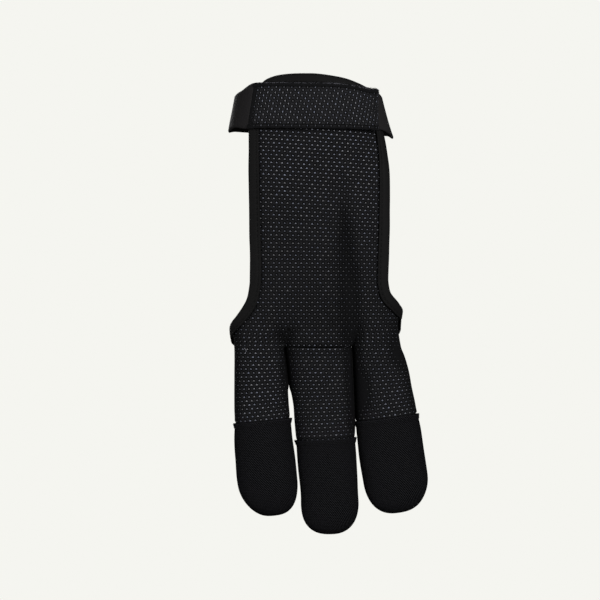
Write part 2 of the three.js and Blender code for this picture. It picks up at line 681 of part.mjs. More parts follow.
// The mesh tab over the front of the wrist, with a turned hem along both edges.
// It climbs over the band's sewn end.
function strapTab() {
  const half = tabWidth / 2;
  const across = [
    { height: -half, out: tabHemExtra },
    { height: -half + tabHem, out: tabHemExtra },
    { height: -half + tabHem + tabHemStep, out: 0 },
    { height: half - tabHem - tabHemStep, out: 0 },
    { height: half - tabHem, out: tabHemExtra },
    { height: half, out: tabHemExtra },
  ];
  const rows = steps(tabCells).map((t) =>
    across.map((a) => {
      const turn = lerp(tabStart, tabEnd + tabEndLean * (a.height / half), t);
      const climbed = smooth(bandStart - tabClimb.from, bandStart - tabClimb.to, turn);
      const climb = (strapWall + fitGap) * climbed;
      const droop = a.height > 0 ? tabDroop.by * smooth(tabDroop.from, tabDroop.to, turn) : 0;
      return onStrap(turn, a.height - droop, strapOut + climb + a.out);
    }),
  );
  return sheet([rows], strapWall);
}

// The hook-and-loop pad between the tab and the palm panel.
function closurePad() {
  const rows = steps(6).map((t) => {
    const share = (padCentre + padLength * (t - 0.5)) / palmSection(0).half;
    const turn = Math.asin(signedPower(share, formSquare / 2)) / DEGREE;
    return steps(2).map((s) => onStrap(turn, lerp(-0.5, 0.5, s) * padWidth, fitGap + padWall));
  });
  return sheet([rows], padWall);
}

const cloths = {
  mesh: { color: 0x1d1d1f, roughness: 0.85, metalness: 0 },
  plain: { color: 0x222122, roughness: 0.8, metalness: 0 },
  tape: { color: 0x1e1d1e, roughness: 0.6, metalness: 0 },
  woven: { color: 0x131315, roughness: 0.9, metalness: 0 },
  elastic: { color: 0x232223, roughness: 0.75, metalness: 0 },
};

const pieces = [
  ["palm_panel", palmPanel(), cloths.mesh],
  ["middle_finger_front", middleFront(), cloths.mesh],
  ["finger_backs", fingerBacks(), cloths.plain],
  ["index_middle_gusset", gusset(FINGERS.index, FINGERS.middle), cloths.plain],
  ["middle_ring_gusset", gusset(FINGERS.middle, FINGERS.ring), cloths.plain],
  ["index_cap", cap(FINGERS.index), cloths.woven],
  ["middle_cap", cap(FINGERS.middle), cloths.woven],
  ["ring_cap", cap(FINGERS.ring), cloths.woven],
  ["thumb_edge_binding", binding(edgeStops(thumbEdge).reverse(), meshWall), cloths.tape],
  ["little_edge_binding", binding(edgeStops(littleEdge), meshWall), cloths.tape],
  ["top_edge_binding", binding(topStops(), meshWall), cloths.tape],
  ["back_edge_binding", binding(backStops(), backWall), cloths.tape],
  ["strap_band", strapBand(), cloths.elastic],
  ["strap_tab", strapTab(), cloths.mesh],
  ["closure_pad", closurePad(), cloths.elastic],
];

const glove = new THREE.Group();
for (const [name, geometry, look] of pieces) {
  const mesh = new THREE.Mesh(geometry, new THREE.MeshStandardMaterial(look));
  mesh.name = name;
  glove.add(mesh);
}

export default glove;
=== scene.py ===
"""A worn three-finger archery glove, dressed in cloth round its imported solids.

Lengths are in metres. The fingers point down, the palm side faces -Y and the thumb side is -X.
"""

import logging
import math
import random
from bisect import bisect_right
from dataclasses import dataclass
from enum import Enum
from typing import Callable, Iterator, Optional, Sequence

import bmesh
import bpy
from bpy.types import Material, Node, NodeSocket, NodeTree, Object
from mathutils import Matrix, Vector, noise


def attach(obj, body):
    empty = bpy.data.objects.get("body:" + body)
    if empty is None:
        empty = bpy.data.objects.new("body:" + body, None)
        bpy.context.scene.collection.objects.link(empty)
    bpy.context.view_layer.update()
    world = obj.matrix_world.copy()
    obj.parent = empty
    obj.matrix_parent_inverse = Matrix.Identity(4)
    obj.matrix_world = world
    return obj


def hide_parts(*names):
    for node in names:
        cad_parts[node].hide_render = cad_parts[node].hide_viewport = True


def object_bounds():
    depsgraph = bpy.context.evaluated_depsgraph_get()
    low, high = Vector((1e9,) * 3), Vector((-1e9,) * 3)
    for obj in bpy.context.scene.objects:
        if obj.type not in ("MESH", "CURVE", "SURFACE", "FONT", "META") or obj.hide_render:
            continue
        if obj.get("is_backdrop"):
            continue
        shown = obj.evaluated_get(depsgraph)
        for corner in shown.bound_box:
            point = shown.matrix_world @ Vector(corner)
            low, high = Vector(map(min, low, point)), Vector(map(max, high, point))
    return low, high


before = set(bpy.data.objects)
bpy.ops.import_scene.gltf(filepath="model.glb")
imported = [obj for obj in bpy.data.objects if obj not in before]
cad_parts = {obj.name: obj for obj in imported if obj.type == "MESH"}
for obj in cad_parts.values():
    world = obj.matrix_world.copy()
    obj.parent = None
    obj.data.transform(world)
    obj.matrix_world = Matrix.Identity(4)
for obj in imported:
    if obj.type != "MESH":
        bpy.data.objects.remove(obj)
cad_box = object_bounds()

log = logging.getLogger("glove")

MM = 0.001
Rgb = tuple[float, float, float]
CLOTH = "cloth"  # point attribute of every cloth piece: metres across, metres down, strength of the finish, which on the mesh also sets painted glint highlights and painted shade
SAME_PLACE = 1e-6  # places closer than this are one
NO_AREA = 1e-14  # a flat triangle of less than this has no inside
WELD = 0.02 * MM  # vertices closer than this become one


# Numbers and curves


def lerp(a: float, b: float, t: float) -> float:
    """A value on the way from a to b."""
    return a + (b - a) * t


def smooth(start: float, end: float, x: float) -> float:
    """0 before start, 1 after end, and a soft step between."""
    t = min(1.0, max(0.0, (x - start) / (end - start)))
    return t * t * (3 - 2 * t)


def signed_power(x: float, power: float) -> float:
    """A power of a number's size that keeps its sign."""
    return math.copysign(abs(x) ** power, x)


def steps(count: int) -> list[float]:
    """Shares from 0 to 1 in count equal steps."""
    return [i / count for i in range(count + 1)]


@dataclass(frozen=True)
class Curve:
    """A table that is read on a smooth curve through its rows. The first column is the place."""

    rows: tuple[tuple[float, ...], ...]

    def read(self, at: float, column: int = 1) -> float:
        """The value of a column at a place.

        Args:
            at: the place, held within the table's own range.
            column: which column to read.

        Returns:
            The value on the curve.
        """
        rows, last = self.rows, len(self.rows) - 1
        if at <= rows[0][0]:
            return rows[0][column]
        if at >= rows[last][0]:
            return rows[last][column]
        i = bisect_right([row[0] for row in rows], at) - 1

        def slope(j: int) -> float:
            """The curve's slope at a row."""
            before, after = rows[max(0, j - 1)], rows[min(last, j + 1)]
            return (after[column] - before[column]) / (after[0] - before[0])

        span = rows[i + 1][0] - rows[i][0]
        t = (at - rows[i][0]) / span
        t2, t3 = t * t, t * t * t
        return (
            (2 * t3 - 3 * t2 + 1) * rows[i][column]
            + (t3 - 2 * t2 + t) * span * slope(i)
            + (3 * t2 - 2 * t3) * rows[i + 1][column]
            + (t3 - t2) * span * slope(i + 1)
        )


# The hand form that the glove holds. Rows are shares of HandForm's sizes, mostly as in the solids.

# drop; centre and half of the breadth; palm and back of the depth
PALM_FORM = Curve((
    (-0.16, -0.02, 0.33, 0.565, 0.5),
    (-0.05, -0.019, 0.356, 0.6, 0.53),
    (0.1, -0.011, 0.4, 0.64, 0.56),
    (0.28, 0.015, 0.462, 0.64, 0.54),
    (0.56, 0.03, 0.485, 0.56, 0.48),
    (0.8, 0.022, 0.464, 0.5, 0.43),
    (0.93, 0.016, 0.437, 0.47, 0.39),
    (1, 0.018, 0.432, 0.45, 0.36),
))
# row; across, of the panel's width; drop; flare
THUMB_EDGE = Curve((
    (0, -0.352, -0.093, 0),
    (0.05, -0.41, -0.043, 0),
    (0.11, -0.436, 0.028, 0),
    (0.2, -0.446, 0.115, 0),
    (0.32, -0.448, 0.245, 0),
    (0.52, -0.445, 0.465, 0),
    (0.7, -0.438, 0.665, 0),
    (0.78, -0.442, 0.752, 0.01),
    (0.84, -0.448, 0.818, 0.11),
    (0.9, -0.456, 0.878, 0.42),
    (0.95, -0.456, 0.935, 1),
    (1, -0.456, 1, 1),
))
LITTLE_EDGE = Curve((
    (0, 0.43, -0.057, 0),
    (0.05, 0.455, -0.016, 0),
    (0.11, 0.475, 0.045, 0),
    (0.2, 0.512, 0.12, 0),
    (0.32, 0.546, 0.245, 0),
    (0.52, 0.553, 0.465, 0),
    (0.7, 0.546, 0.665, 0),
    (0.78, 0.544, 0.742, 0.01),
    (0.84, 0.553, 0.788, 0.09),
    (0.9, 0.57, 0.828, 0.43),
    (0.95, 0.57, 0.87, 1),
    (1, 0.57, 1, 1),
))
SIDE_ROW = 0.95  # where the bound edges reach the sides of the fingers
ARCH = Curve(((0, 1), (0.05, 0.88), (0.11, 0.6), (0.2, 0.3), (0.32, 0.08), (0.45, 0)))


def arch_at(share: float, lean: float = 0.6, fullness: float = 0.8) -> float:
    """How much of the arch's rise the palm panel's top edge has on its way from the thumb side."""
    return (4 * share * (1 - share)) ** fullness * (1 + lean * (0.5 - share))


# place across the finger backs; drop
BACK_DROPS = (
    (0.06, 0.953), (0.14, 0.968), (0.22, 0.972), (0.4, 0.958),
    (0.51, 0.966), (0.62, 0.955), (0.8, 0.948), (0.92, 0.91),
)
# turn in degrees; lift, of the tab's width
STRAP_LINE = Curve((
    (-180, -0.09),
    (-115, -0.06),
    (-90, -0.105),
    (-45, 0.01),
    (0, 0),
    (30, -0.01),
    (60, -0.05),
    (90, -0.188),
    (110, -0.11),
    (180, -0.09),
))
INDEX_TO_MIDDLE = 0.403
MIDDLE_TO_RING = 0.619


@dataclass(frozen=True)
class Hollow:
    """A soft hollow of the palm side, or a pad where deep is negative. Shares as in PALM_FORM."""

    across: float
    drop: float
    wide: float
    tall: float
    deep: float
    tilt: float = 0.0  # how far the hollow leans to the little side on its way down


PALM_RELIEF = (
    Hollow(0.02, 0.55, 0.26, 0.26, 0.045),
    Hollow(0.2, 0.72, 0.05, 0.24, 0.035),
    Hollow(-0.26, 0.9, 0.1, 0.08, -0.045),
    Hollow(0.33, 0.9, 0.09, 0.08, -0.04),
)
# Folds of the cloth, finer than the solids hold
CLOTH_FOLDS = (
    Hollow(-0.125, 0.94, 0.035, 0.07, 0.03, -0.12),  # into the gap between index and middle
    Hollow(0.215, 0.955, 0.035, 0.06, 0.03, 0.1),  # into the gap between middle and ring
    Hollow(0.15, 0.56, 0.052, 0.27, 0.07, 0.12),  # down the palm to the ring finger
    Hollow(0.235, 0.5, 0.05, 0.24, -0.03, 0.1),
    Hollow(0.06, 0.62, 0.05, 0.2, -0.02, 0.1),
    Hollow(-0.12, 0.3, 0.12, 0.12, -0.02, 0.3),
    Hollow(0.05, 0.2, 0.07, 0.1, 0.014, -0.2),
    Hollow(-0.02, 0.86, 0.12, 0.05, 0.012, 0.5),
    Hollow(0.1, 0.9, 0.05, 0.03, -0.012, -0.6),
    Hollow(-0.2, 0.82, 0.035, 0.06, 0.012, -0.7),
)


@dataclass(frozen=True)
class Finger:
    """A covered finger. Rows: along its reach; centre, half; depth, forward."""

    name: str
    reach: float
    lean: float
    rows: Curve


INDEX = Finger("index", 75.9 * MM, 5.6, Curve((
    (-0.15, -0.2845, 0.138, 0.3, 0.08),
    (0, -0.2757, 0.1324, 0.3, 0.08),
    (0.15, -0.269, 0.1392, 0.298, 0.087),
    (0.34, -0.2643, 0.1439, 0.293, 0.105),
    (0.43, -0.2597, 0.146, 0.293, 0.12),
    (0.53, -0.2564, 0.1518, 0.3, 0.138),
    (0.65, -0.2465, 0.1555, 0.295, 0.165),
    (0.82, -0.2305, 0.1565, 0.28, 0.215),
    (1, -0.1965, 0.1475, 0.26, 0.28),
)))
MIDDLE = Finger("middle", 84 * MM, 2.6, Curve((
    (-0.15, 0.0356, 0.1755, 0.31, 0.09),
    (0, 0.0356, 0.1753, 0.31, 0.09),
    (0.13, 0.0453, 0.1709, 0.306, 0.097),
    (0.22, 0.0523, 0.1674, 0.303, 0.105),
    (0.31, 0.0612, 0.1609, 0.299, 0.12),
    (0.39, 0.0641, 0.1583, 0.297, 0.135),
    (0.5, 0.0712, 0.1553, 0.3, 0.16),
    (0.65, 0.082, 0.1538, 0.295, 0.2),
    (0.82, 0.0922, 0.1512, 0.28, 0.25),
    (1, 0.0975, 0.164, 0.26, 0.32),
)))
RING = Finger("ring", 74.5 * MM, 7.4, Curve((
    (-0.15, 0.33, 0.12, 0.29, 0.07),
    (0, 0.3414, 0.1269, 0.29, 0.075),
    (0.06, 0.352, 0.1357, 0.29, 0.079),
    (0.15, 0.3645, 0.1443, 0.29, 0.087),
    (0.25, 0.3735, 0.1495, 0.29, 0.1),
    (0.34, 0.3832, 0.1555, 0.29, 0.114),
    (0.4, 0.389, 0.159, 0.29, 0.125),
    (0.49, 0.3995, 0.1662, 0.298, 0.142),
    (0.59, 0.4112, 0.1695, 0.297, 0.168),
    (0.68, 0.4212, 0.1698, 0.292, 0.195),
    (0.82, 0.439, 0.168, 0.28, 0.24),
    (1, 0.451, 0.165, 0.26, 0.3),
)))


@dataclass
class Spot:
    """A point of a cloth patch with its place on the flat cloth.

    Attributes:
        at: where it is.
        across: metres across the flat cloth.
        down: metres down the flat cloth.
        show: strength of the finish there, 1 in full; on the mesh it sets the glints' painted highlight and,
            where low, painted shade on the ground; above 1 it marks a worn edge.
    """

    at: Vector
    across: float = 0.0
    down: float = 0.0
    show: float = 1.0


Patch = list[list[Spot]]
Surface = Callable[[float, float], Vector]


def outward(surface: Surface, a: float, b: float, step_a: float, step_b: float) -> Vector:
    """The direction away from the hand on a surface that is walked to the right and down.

    Args:
        surface: the surface.
        a: place to the right.
        b: place downwards.
        step_a: a short step to the right.
        step_b: a short step down.

    Returns:
        A unit vector.
    """
    right = surface(a + step_a, b) - surface(a - step_a, b)
    below = surface(a, b + step_b) - surface(a, b - step_b)
    return below.cross(right).normalized()


@dataclass(frozen=True)
class HandForm:
    """The surfaces that the cloth lies on, worked out from the sizes of the hand form."""

    palm_drop: float = 107.5 * MM
    breadth: float = 86 * MM
    depth: float = 34 * MM
    square: float = 2.4
    finger_square: float = 2.2
    tip_square: float = 2.5
    panel_width: float = 61 * MM
    cap_length: float = 42.6 * MM
    cap_wall: float = 1.05 * MM
    fit_gap: float = 0.35 * MM
    tuck_above: float = 0.7 * MM  # the tube narrows from here above the cap's hem
    tuck_below: float = 0.5 * MM
    front_seam: tuple[float, float] = (76.0, 76.0)  # degrees round a finger, at its root and further down
    back_seam: tuple[float, float] = (70.0, 54.0)
    palm_seam_turn: float = 48.0
    palm_seam_blend: float = 9 * MM
    web_blend: float = 16 * MM
    root_blend: float = 27 * MM
    back_bridge: float = 0.42
    ripple: float = 0.22 * MM  # small unevenness of worn cloth
    ripple_scale: float = 95.0  # per metre

    def palm_section(self, z: float) -> tuple[float, float, float, float]:
        """Centre, half breadth, palm depth and back depth of the hand at a height.

        Args:
            z: the height.

        Returns:
            The four, in metres.
        """
        drop = -z / self.palm_drop
        centre, half = (PALM_FORM.read(drop, c) * self.breadth for c in (1, 2))
        palm, back = (PALM_FORM.read(drop, c) * self.depth for c in (3, 4))
        return centre, half, palm, back

    def relief(self, x: float, z: float, hollows: Sequence[Hollow]) -> float:
        """How far hollows push the palm side in at a place.

        Args:
            x: metres to the little side.
            z: the height.
            hollows: the hollows and pads.

        Returns:
            The depth, less than 0 on a pad.
        """
        total = 0.0
        for h in hollows:
            dz = (z + h.drop * self.palm_drop) / (h.tall * self.palm_drop)
            if abs(dz) > 3:
                continue
            lean = -h.tilt * (z + h.drop * self.palm_drop)
            dx = (x - h.across * self.breadth - lean) / (h.wide * self.breadth)
            total += h.deep * self.depth * math.exp(-dx * dx - dz * dz)
        return total

    def palm_point(self, place: float, z: float) -> Vector:
        """A point of the hand: place is 0 at the thumb side, 1 at the little side, 1.5 at the back.

        Args:
            place: how far round.
            z: the height.

        Returns:
            The point.
        """
        centre, half, palm, back = self.palm_section(z)
        turn = (place - 0.5) * math.pi
        x = centre + half * signed_power(math.sin(turn), 2 / self.square)
        out = signed_power(math.cos(turn), 2 / self.square)
        if out <= 0:
            return Vector((x, -back * out, z))
        pushed = self.relief(x, z, PALM_RELIEF) + self.relief(x, z, CLOTH_FOLDS)
        return Vector((x, (pushed - palm) * out, z))

    def place_of_x(self, x: float, z: float) -> float:
        """The place on the palm side that has a given x.

        Args:
            x: metres to the little side.
            z: the height.

        Returns:
            The place.
        """
        centre, half, _, _ = self.palm_section(z)
        share = max(-1.0, min(1.0, (x - centre) / half))
        return 0.5 + math.asin(signed_power(share, self.square / 2)) / math.pi

    def hem(self, finger: Finger) -> float:
        """How far down a finger its cap begins."""
        return finger.reach - self.cap_length

    def tube_inset(self, finger: Finger, along: float) -> float:
        """How much narrower the finger tube is where it runs into the cap."""
        hem = self.hem(finger)
        return (self.cap_wall + self.fit_gap) * smooth(hem - self.tuck_above, hem + self.tuck_below, along)

    def finger_point(
        self, finger: Finger, turn: float, along: float, out: float = 0.0, tip: float = 0.0
    ) -> Vector:
        """A point round a finger.

        Args:
            finger: the finger.
            turn: degrees from the palm side towards the little side.
            along: metres from the finger's root.
            out: distance from the outline, away from the finger.
            tip: how far round the fingertip, 0 before it and 1 at its end.

        Returns:
            The point.
        """
        share = along / finger.reach
        shrink = math.cos(tip * 0.5 * math.pi) ** (2 / self.tip_square) if tip < 1 else 0.0
        half = (finger.rows.read(share, 2) * self.breadth + out) * shrink
        depth = (finger.rows.read(share, 3) * self.depth + out) * shrink
        angle = math.radians(turn)
        x = half * signed_power(math.sin(angle), 2 / self.finger_square)
        y = -depth * signed_power(math.cos(angle), 2 / self.finger_square)
        lean = math.tan(math.radians(finger.lean)) * smooth(0, self.hem(finger), along)
        return Vector((
            finger.rows.read(share, 1) * self.breadth + x,
            y - finger.rows.read(share, 4) * self.depth,
            -self.palm_drop - along + x * lean,
        ))

    def seam_at(self, along: float, on_back: bool = False) -> float:
        """Degrees round a finger, from the middle of its palm side or back, to the gusset's seam.

        Args:
            along: metres from the finger's root.
            on_back: whether from the back.

        Returns:
            The degrees.
        """
        web, below = self.back_seam if on_back else self.front_seam
        if along < 0:
            return lerp(web, self.palm_seam_turn, smooth(0, self.palm_seam_blend, -along))
        return lerp(web, below, smooth(0, self.web_blend, along))

    def root_point(self, place: float, z: float) -> Vector:
        """What the hand turns into at the finger roots.

        Args:
            place: how far round.
            z: the height.

        Returns:
            The point.
        """
        on_back = place > 1
        seam = self.seam_at(-self.palm_drop - z, on_back)
        mirrored = 2 - place if on_back else place
        points = []
        for finger, start, end, low, high in (
            (INDEX, -90, seam, 0, INDEX_TO_MIDDLE),
            (MIDDLE, -seam, seam, INDEX_TO_MIDDLE, MIDDLE_TO_RING),
            (RING, -seam, 90, MIDDLE_TO_RING, 1),
        ):
            before = low > 0 and mirrored <= low - SAME_PLACE
            if before or (high < 1 and mirrored >= high + SAME_PLACE):
                continue
            turn = lerp(start, end, (mirrored - low) / (high - low))
            points.append(self.finger_point(
                finger, 180 - turn if on_back else turn, min(0.0, -self.palm_drop - z)
            ))
        at = points[0].lerp(points[-1], 0.5)
        at.z = z
        return at

    def skin(self, place: float, z: float) -> Vector:
        """The outer side of the cloth of the palm and of the finger backs above the roots.

        Args:
            place: how far round.
            z: the height.

        Returns:
            The point.
        """
        wrapped = place + 2 if place < 0 else place
        bridged = 1.0
        if wrapped > 1:
            bridged = 1 - self.back_bridge * math.sin(math.pi * (wrapped - 1))
        share = bridged * (1 - smooth(-self.palm_drop, -self.palm_drop + self.root_blend, z))
        point = self.palm_point(wrapped, z)
        if share > 0:
            point = point.lerp(self.root_point(wrapped, z), share)
        return point

    def skin_out(self, place: float, z: float) -> Vector:
        """The direction away from the hand on the skin."""
        return outward(lambda p, down: self.skin(p, -down), place, -z, 0.002, 0.2 * MM)

    def strap_point(self, turn: float, height: float, out: float) -> Vector:
        """A point of the strap.

        Args:
            turn: degrees from the front over the little side.
            height: metres up from the strap's middle line.
            out: distance from the cloth under the strap.

        Returns:
            The point.
        """
        lift = STRAP_LINE.read(turn - 360 if turn > 180 else turn) * WristStrap.tab_width
        centre, half, palm, back = self.palm_section(lift + height)
        angle = math.radians(turn)
        across = signed_power(math.sin(angle), 2 / self.square)
        front = signed_power(math.cos(angle), 2 / self.square)
        depth = (palm if front > 0 else back) + out
        return Vector((centre + (half + out) * across, -depth * front, lift + height))

    def unevenness(self, at: Vector) -> float:
        """A small soft ripple of the cloth at a point, in metres."""
        return self.ripple * noise.noise(at * self.ripple_scale)


HAND = HandForm()


# The cloth's edges


@dataclass(frozen=True)
class Stop:
    """A stop on the palm side's cloth: place round the hand and height."""

    place: float
    z: float


def edge_stop(row: float, edge: Curve, side: float) -> Stop:
    """Where a bound edge of the palm panel is at a row.

    Args:
        row: share of the way to the finger roots.
        edge: THUMB_EDGE or LITTLE_EDGE.
        side: the place of the hand's side that it flares to.

    Returns:
        The stop.
    """
    z = -edge.read(row, 2) * HAND.palm_drop
    on_panel = HAND.place_of_x(edge.read(row, 1) * HAND.panel_width, z)
    return Stop(lerp(on_panel, side, min(1.0, max(0.0, edge.read(row, 3)))), z)


def thumb_stop(row: float) -> Stop:
    """The palm panel's edge on the thumb side."""
    return edge_stop(row, THUMB_EDGE, 0)


def little_stop(row: float) -> Stop:
    """The palm panel's edge on the little side."""
    return edge_stop(row, LITTLE_EDGE, 1)


BACK_EDGE = Curve((
    (0, -thumb_stop(SIDE_ROW).z / HAND.palm_drop),
    *BACK_DROPS,
    (1, -little_stop(SIDE_ROW).z / HAND.palm_drop),
))


def back_height(across: float) -> float:
    """The height of the bound edge across the finger backs."""
    return -BACK_EDGE.read(across) * HAND.palm_drop


# Laying cloth with bmesh


def ellipse_roll(distance: float, radius: float) -> float:
    """How far a rolled edge falls away at a distance from its end.

    Args:
        distance: metres from the end.
        radius: the roll's radius.

    Returns:
        The fall, 0 past the radius.
    """
    if distance >= radius:
        return 0.0
    return radius - math.sqrt(max(0.0, radius * radius - (radius - distance) ** 2))


def measure_across(row: Sequence[Spot], anchor: int, value: float) -> None:
    """Gives a row of spots their places across, by distance from an anchor column.

    Args:
        row: the spots.
        anchor: the column whose place is known.
        value: that column's place across.
    """
    row[anchor].across = value
    for i in range(anchor + 1, len(row)):
        row[i].across = row[i - 1].across + (row[i].at - row[i - 1].at).length
    for i in range(anchor - 1, -1, -1):
        row[i].across = row[i + 1].across - (row[i + 1].at - row[i].at).length


def measure(patch: Patch) -> Patch:
    """Gives every spot of a patch its place on the flat cloth, by distance from its middle column.

    Args:
        patch: the spots.

    Returns:
        The same patch.
    """
    middle = len(patch[0]) // 2
    down = 0.0
    for j, row in enumerate(patch):
        if j:
            down += (row[middle].at - patch[j - 1][middle].at).length
        measure_across(row, middle, 0.0)
        for spot in row:
            spot.down = down
    return patch


def lay_patch(bm: bmesh.types.BMesh, patch: Patch) -> list[bmesh.types.BMVert]:
    """Lays a grid of faces on a patch. Its rows go down and its columns to the right.

    Args:
        bm: the mesh that gets the grid.
        patch: the spots.

    Returns:
        The new vertices.
    """
    rows, columns = len(patch) - 1, len(patch[0]) - 1
    layer = bm.verts.layers.float_vector.get(CLOTH) or bm.verts.layers.float_vector.new(CLOTH)
    made = bmesh.ops.create_grid(bm, x_segments=columns, y_segments=rows, size=1.0)["verts"]
    for vertex in made:
        column = round((vertex.co.x + 1) / 2 * columns)
        row = round((1 - vertex.co.y) / 2 * rows)
        spot = patch[row][column]
        vertex.co = spot.at
        vertex[layer] = (spot.across, spot.down, spot.show)
    return made


def weld(bm: bmesh.types.BMesh) -> None:
    """Closes the joins between patches."""
    bmesh.ops.remove_doubles(bm, verts=bm.verts[:], dist=WELD)
    bmesh.ops.dissolve_degenerate(bm, edges=bm.edges[:], dist=WELD / 4)


def ripple_cloth(bm: bmesh.types.BMesh) -> None:
    """Moves the vertices a little along their normals, as worn cloth does.

    Args:
        bm: the cloth.
    """
    bm.normal_update()
    for vertex in bm.verts:
        vertex.co += vertex.normal * HAND.unevenness(vertex.co)


@dataclass
class Piece:
    """One finished piece of the glove.

    Attributes:
        name: the object's name.
        slot: the record's material slot; not used here.
        nodes: the solids that it stands for.
        wall: the cloth's thickness, or None for a closed shape.
    """

    name: str
    slot: str
    nodes: tuple[str, ...] = ()
    wall: Optional[float] = None

    def finish(
        self, bm: bmesh.types.BMesh, outer: Material, inner: Optional[Material] = None
    ) -> Object:
        """Turns the mesh into an object that rides with the glove.

        Args:
            bm: the piece's mesh, which is freed.
            outer: the finish of its outer side.
            inner: the finish of its inner side, where that differs.

        Returns:
            The object.
        """
        for face in bm.faces:
            face.smooth = True
        mesh = bpy.data.meshes.new(self.name)
        bm.to_mesh(mesh)
        bm.free()
        mesh.materials.append(outer)
        if inner:
            mesh.materials.append(inner)
        made = bpy.data.objects.new(self.name, mesh)
        bpy.context.scene.collection.objects.link(made)
        if self.wall:
            shell = made.modifiers.new("wall", "SOLIDIFY")
            shell.thickness = self.wall
            shell.offset = -1
            shell.use_even_offset = True
            shell.thickness_clamp = 1
            shell.material_offset = 1 if inner else 0
        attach(made, "root")
        if self.nodes:
            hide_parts(*self.nodes)
        log.info("%s: %d faces", self.name, len(mesh.polygons))
        return made


@dataclass(frozen=True)
class Perch:
    """A place on the cloth's outer side with its directions, for what sits on the cloth."""

    at: Vector
    right: Vector
    out: Vector
    show: float = 1.0

    def matrix(self, wide: float, tall: float, thick: float, sink: float = 0.0) -> Matrix:
        """Puts a unit shape here: x to the right, y up and z outwards.

        Args:
            wide: scale to the right.
            tall: scale upwards.
            thick: scale outwards.
            sink: how deep its middle lies under the surface.

        Returns:
            The matrix of the shape.
        """
        up = self.out.cross(self.right).normalized()
        turn = Matrix((self.right, up, self.out)).transposed().to_4x4()
        turn.translation = self.at - self.out * sink
        return turn @ Matrix.Diagonal((wide, tall, thick, 1.0))


def lattice_in(corner: Spot, one: Spot, other: Spot, pitch: tuple[float, float], slant: float
               ) -> Iterator[tuple[float, float]]:
    """The staggered lattice points in a triangle of the flat cloth.

    Args:
        corner: the corner that shares are counted from.
        one: the second corner.
        other: the third corner.
        pitch: distance across within a row, and down between rows.
        slant: how far the lattice leans to the right for each step down.

    Yields:
        Shares of the way from the corner to the second and to the third.
    """
    start, ab, ac = (
        (to.across - at.across - slant * (to.down - at.down), to.down - at.down)
        for at, to in ((Spot(corner.at), corner), (corner, one), (corner, other))
    )
    det = ab[0] * ac[1] - ab[1] * ac[0]
    if abs(det) < NO_AREA:
        return
    downs = [start[1], start[1] + ab[1], start[1] + ac[1]]
    for line in range(math.ceil(min(downs) / pitch[1]), math.floor(max(downs) / pitch[1]) + 1):
        offset = 0.5 * pitch[0] * (line % 2)
        near = round((start[0] - offset) / pitch[0])
        for k in (near - 1, near, near + 1):
            dx, dy = k * pitch[0] + offset - start[0], line * pitch[1] - start[1]
            s = (dx * ac[1] - dy * ac[0]) / det
            t = (ab[0] * dy - ab[1] * dx) / det
            if s >= 0 and t >= 0 and s + t < 1:
                yield s, t


def perches(patch: Patch, pitch: tuple[float, float], slant: float = 0.0) -> Iterator[Perch]:
    """The staggered lattice points that a patch covers.

    Args:
        patch: measured spots.
        pitch: distance across within a row, and down between rows.
        slant: how far the lattice leans to the right for each step down.

    Yields:
        A perch for each lattice point.
    """
    for upper, lower in zip(patch, patch[1:]):
        for i in range(len(upper) - 1):
            a, b, c, d = upper[i], upper[i + 1], lower[i], lower[i + 1]
            right, below = (b.at - a.at).normalized(), c.at - a.at
            out = below.cross(right).normalized()
            for corner, one, other in ((a, b, c), (d, c, b)):
                for s, t in lattice_in(corner, one, other, pitch, slant):
                    at = corner.at + (one.at - corner.at) * s + (other.at - corner.at) * t
                    yield Perch(at, right, out, lerp(corner.show, one.show, s))


@dataclass(frozen=True)
class GlintField:
    """The small lugs that show through the holes of the air mesh; their brightness is a painted highlight.

    Attributes:
        pitch: distance across within a row, and down between rows.
        wide: width of a lug.
        tall: height of a lug.
        thick: how far a lug stands out.
        slant: lean of the lattice.
        sideways: whether the cloth lies turned by a quarter, as on the strap.
        upside_down: whether the cloth lies turned by half.
        least_show: below this glint strength there is no lug.
    """

    pitch: tuple[float, float] = (2.45 * MM, 1.75 * MM)
    wide: float = 0.78 * MM
    tall: float = 0.54 * MM
    thick: float = 0.1 * MM
    slant: float = 0.0
    sideways: bool = False
    upside_down: bool = False
    least_show: float = 0.12

    def build(self, name: str, patches: Sequence[Patch], finish: Material) -> Object:
        """Sets a lug on each lattice point.

        Args:
            name: the piece's name.
            patches: the cloth's measured patches.
            finish: the lugs' material.

        Returns:
            The object.
        """
        draw = random.Random(name)
        bm = bmesh.new()
        layer = bm.verts.layers.float_vector.new(CLOTH)
        pitch = (self.pitch[1] * 2, self.pitch[0] / 2) if self.sideways else self.pitch
        upright = (170, 190) if self.upside_down else (-7, 7)  # degrees
        for patch in patches:
            for perch in perches(patch, pitch, self.slant):
                if perch.show < self.least_show:
                    continue
                size = draw.uniform(0.82, 1.12) * lerp(0.7, 1.0, min(1.0, perch.show))
                matrix = perch.matrix(self.wide * size, self.tall * size, 1.0)
                lean = draw.uniform(75, 95) if self.sideways else draw.uniform(*upright)
                made = bmesh.ops.create_cone(
                    bm, cap_ends=True, segments=3, radius1=1.0, radius2=0.5, depth=self.thick * 2,
                    matrix=matrix @ Matrix.Rotation(math.radians(lean), 4, "Z"),
                )["verts"]
                # Each lug's brightness is its painted highlight: the glint strength at its place, a little
                # different for each.
                bright = perch.show * draw.uniform(0.7, 1.25)
                tint = draw.random()
                for vertex in made:
                    vertex[layer] = (bright, tint, perch.show)
        return Piece(name, "mesh").finish(bm, finish)


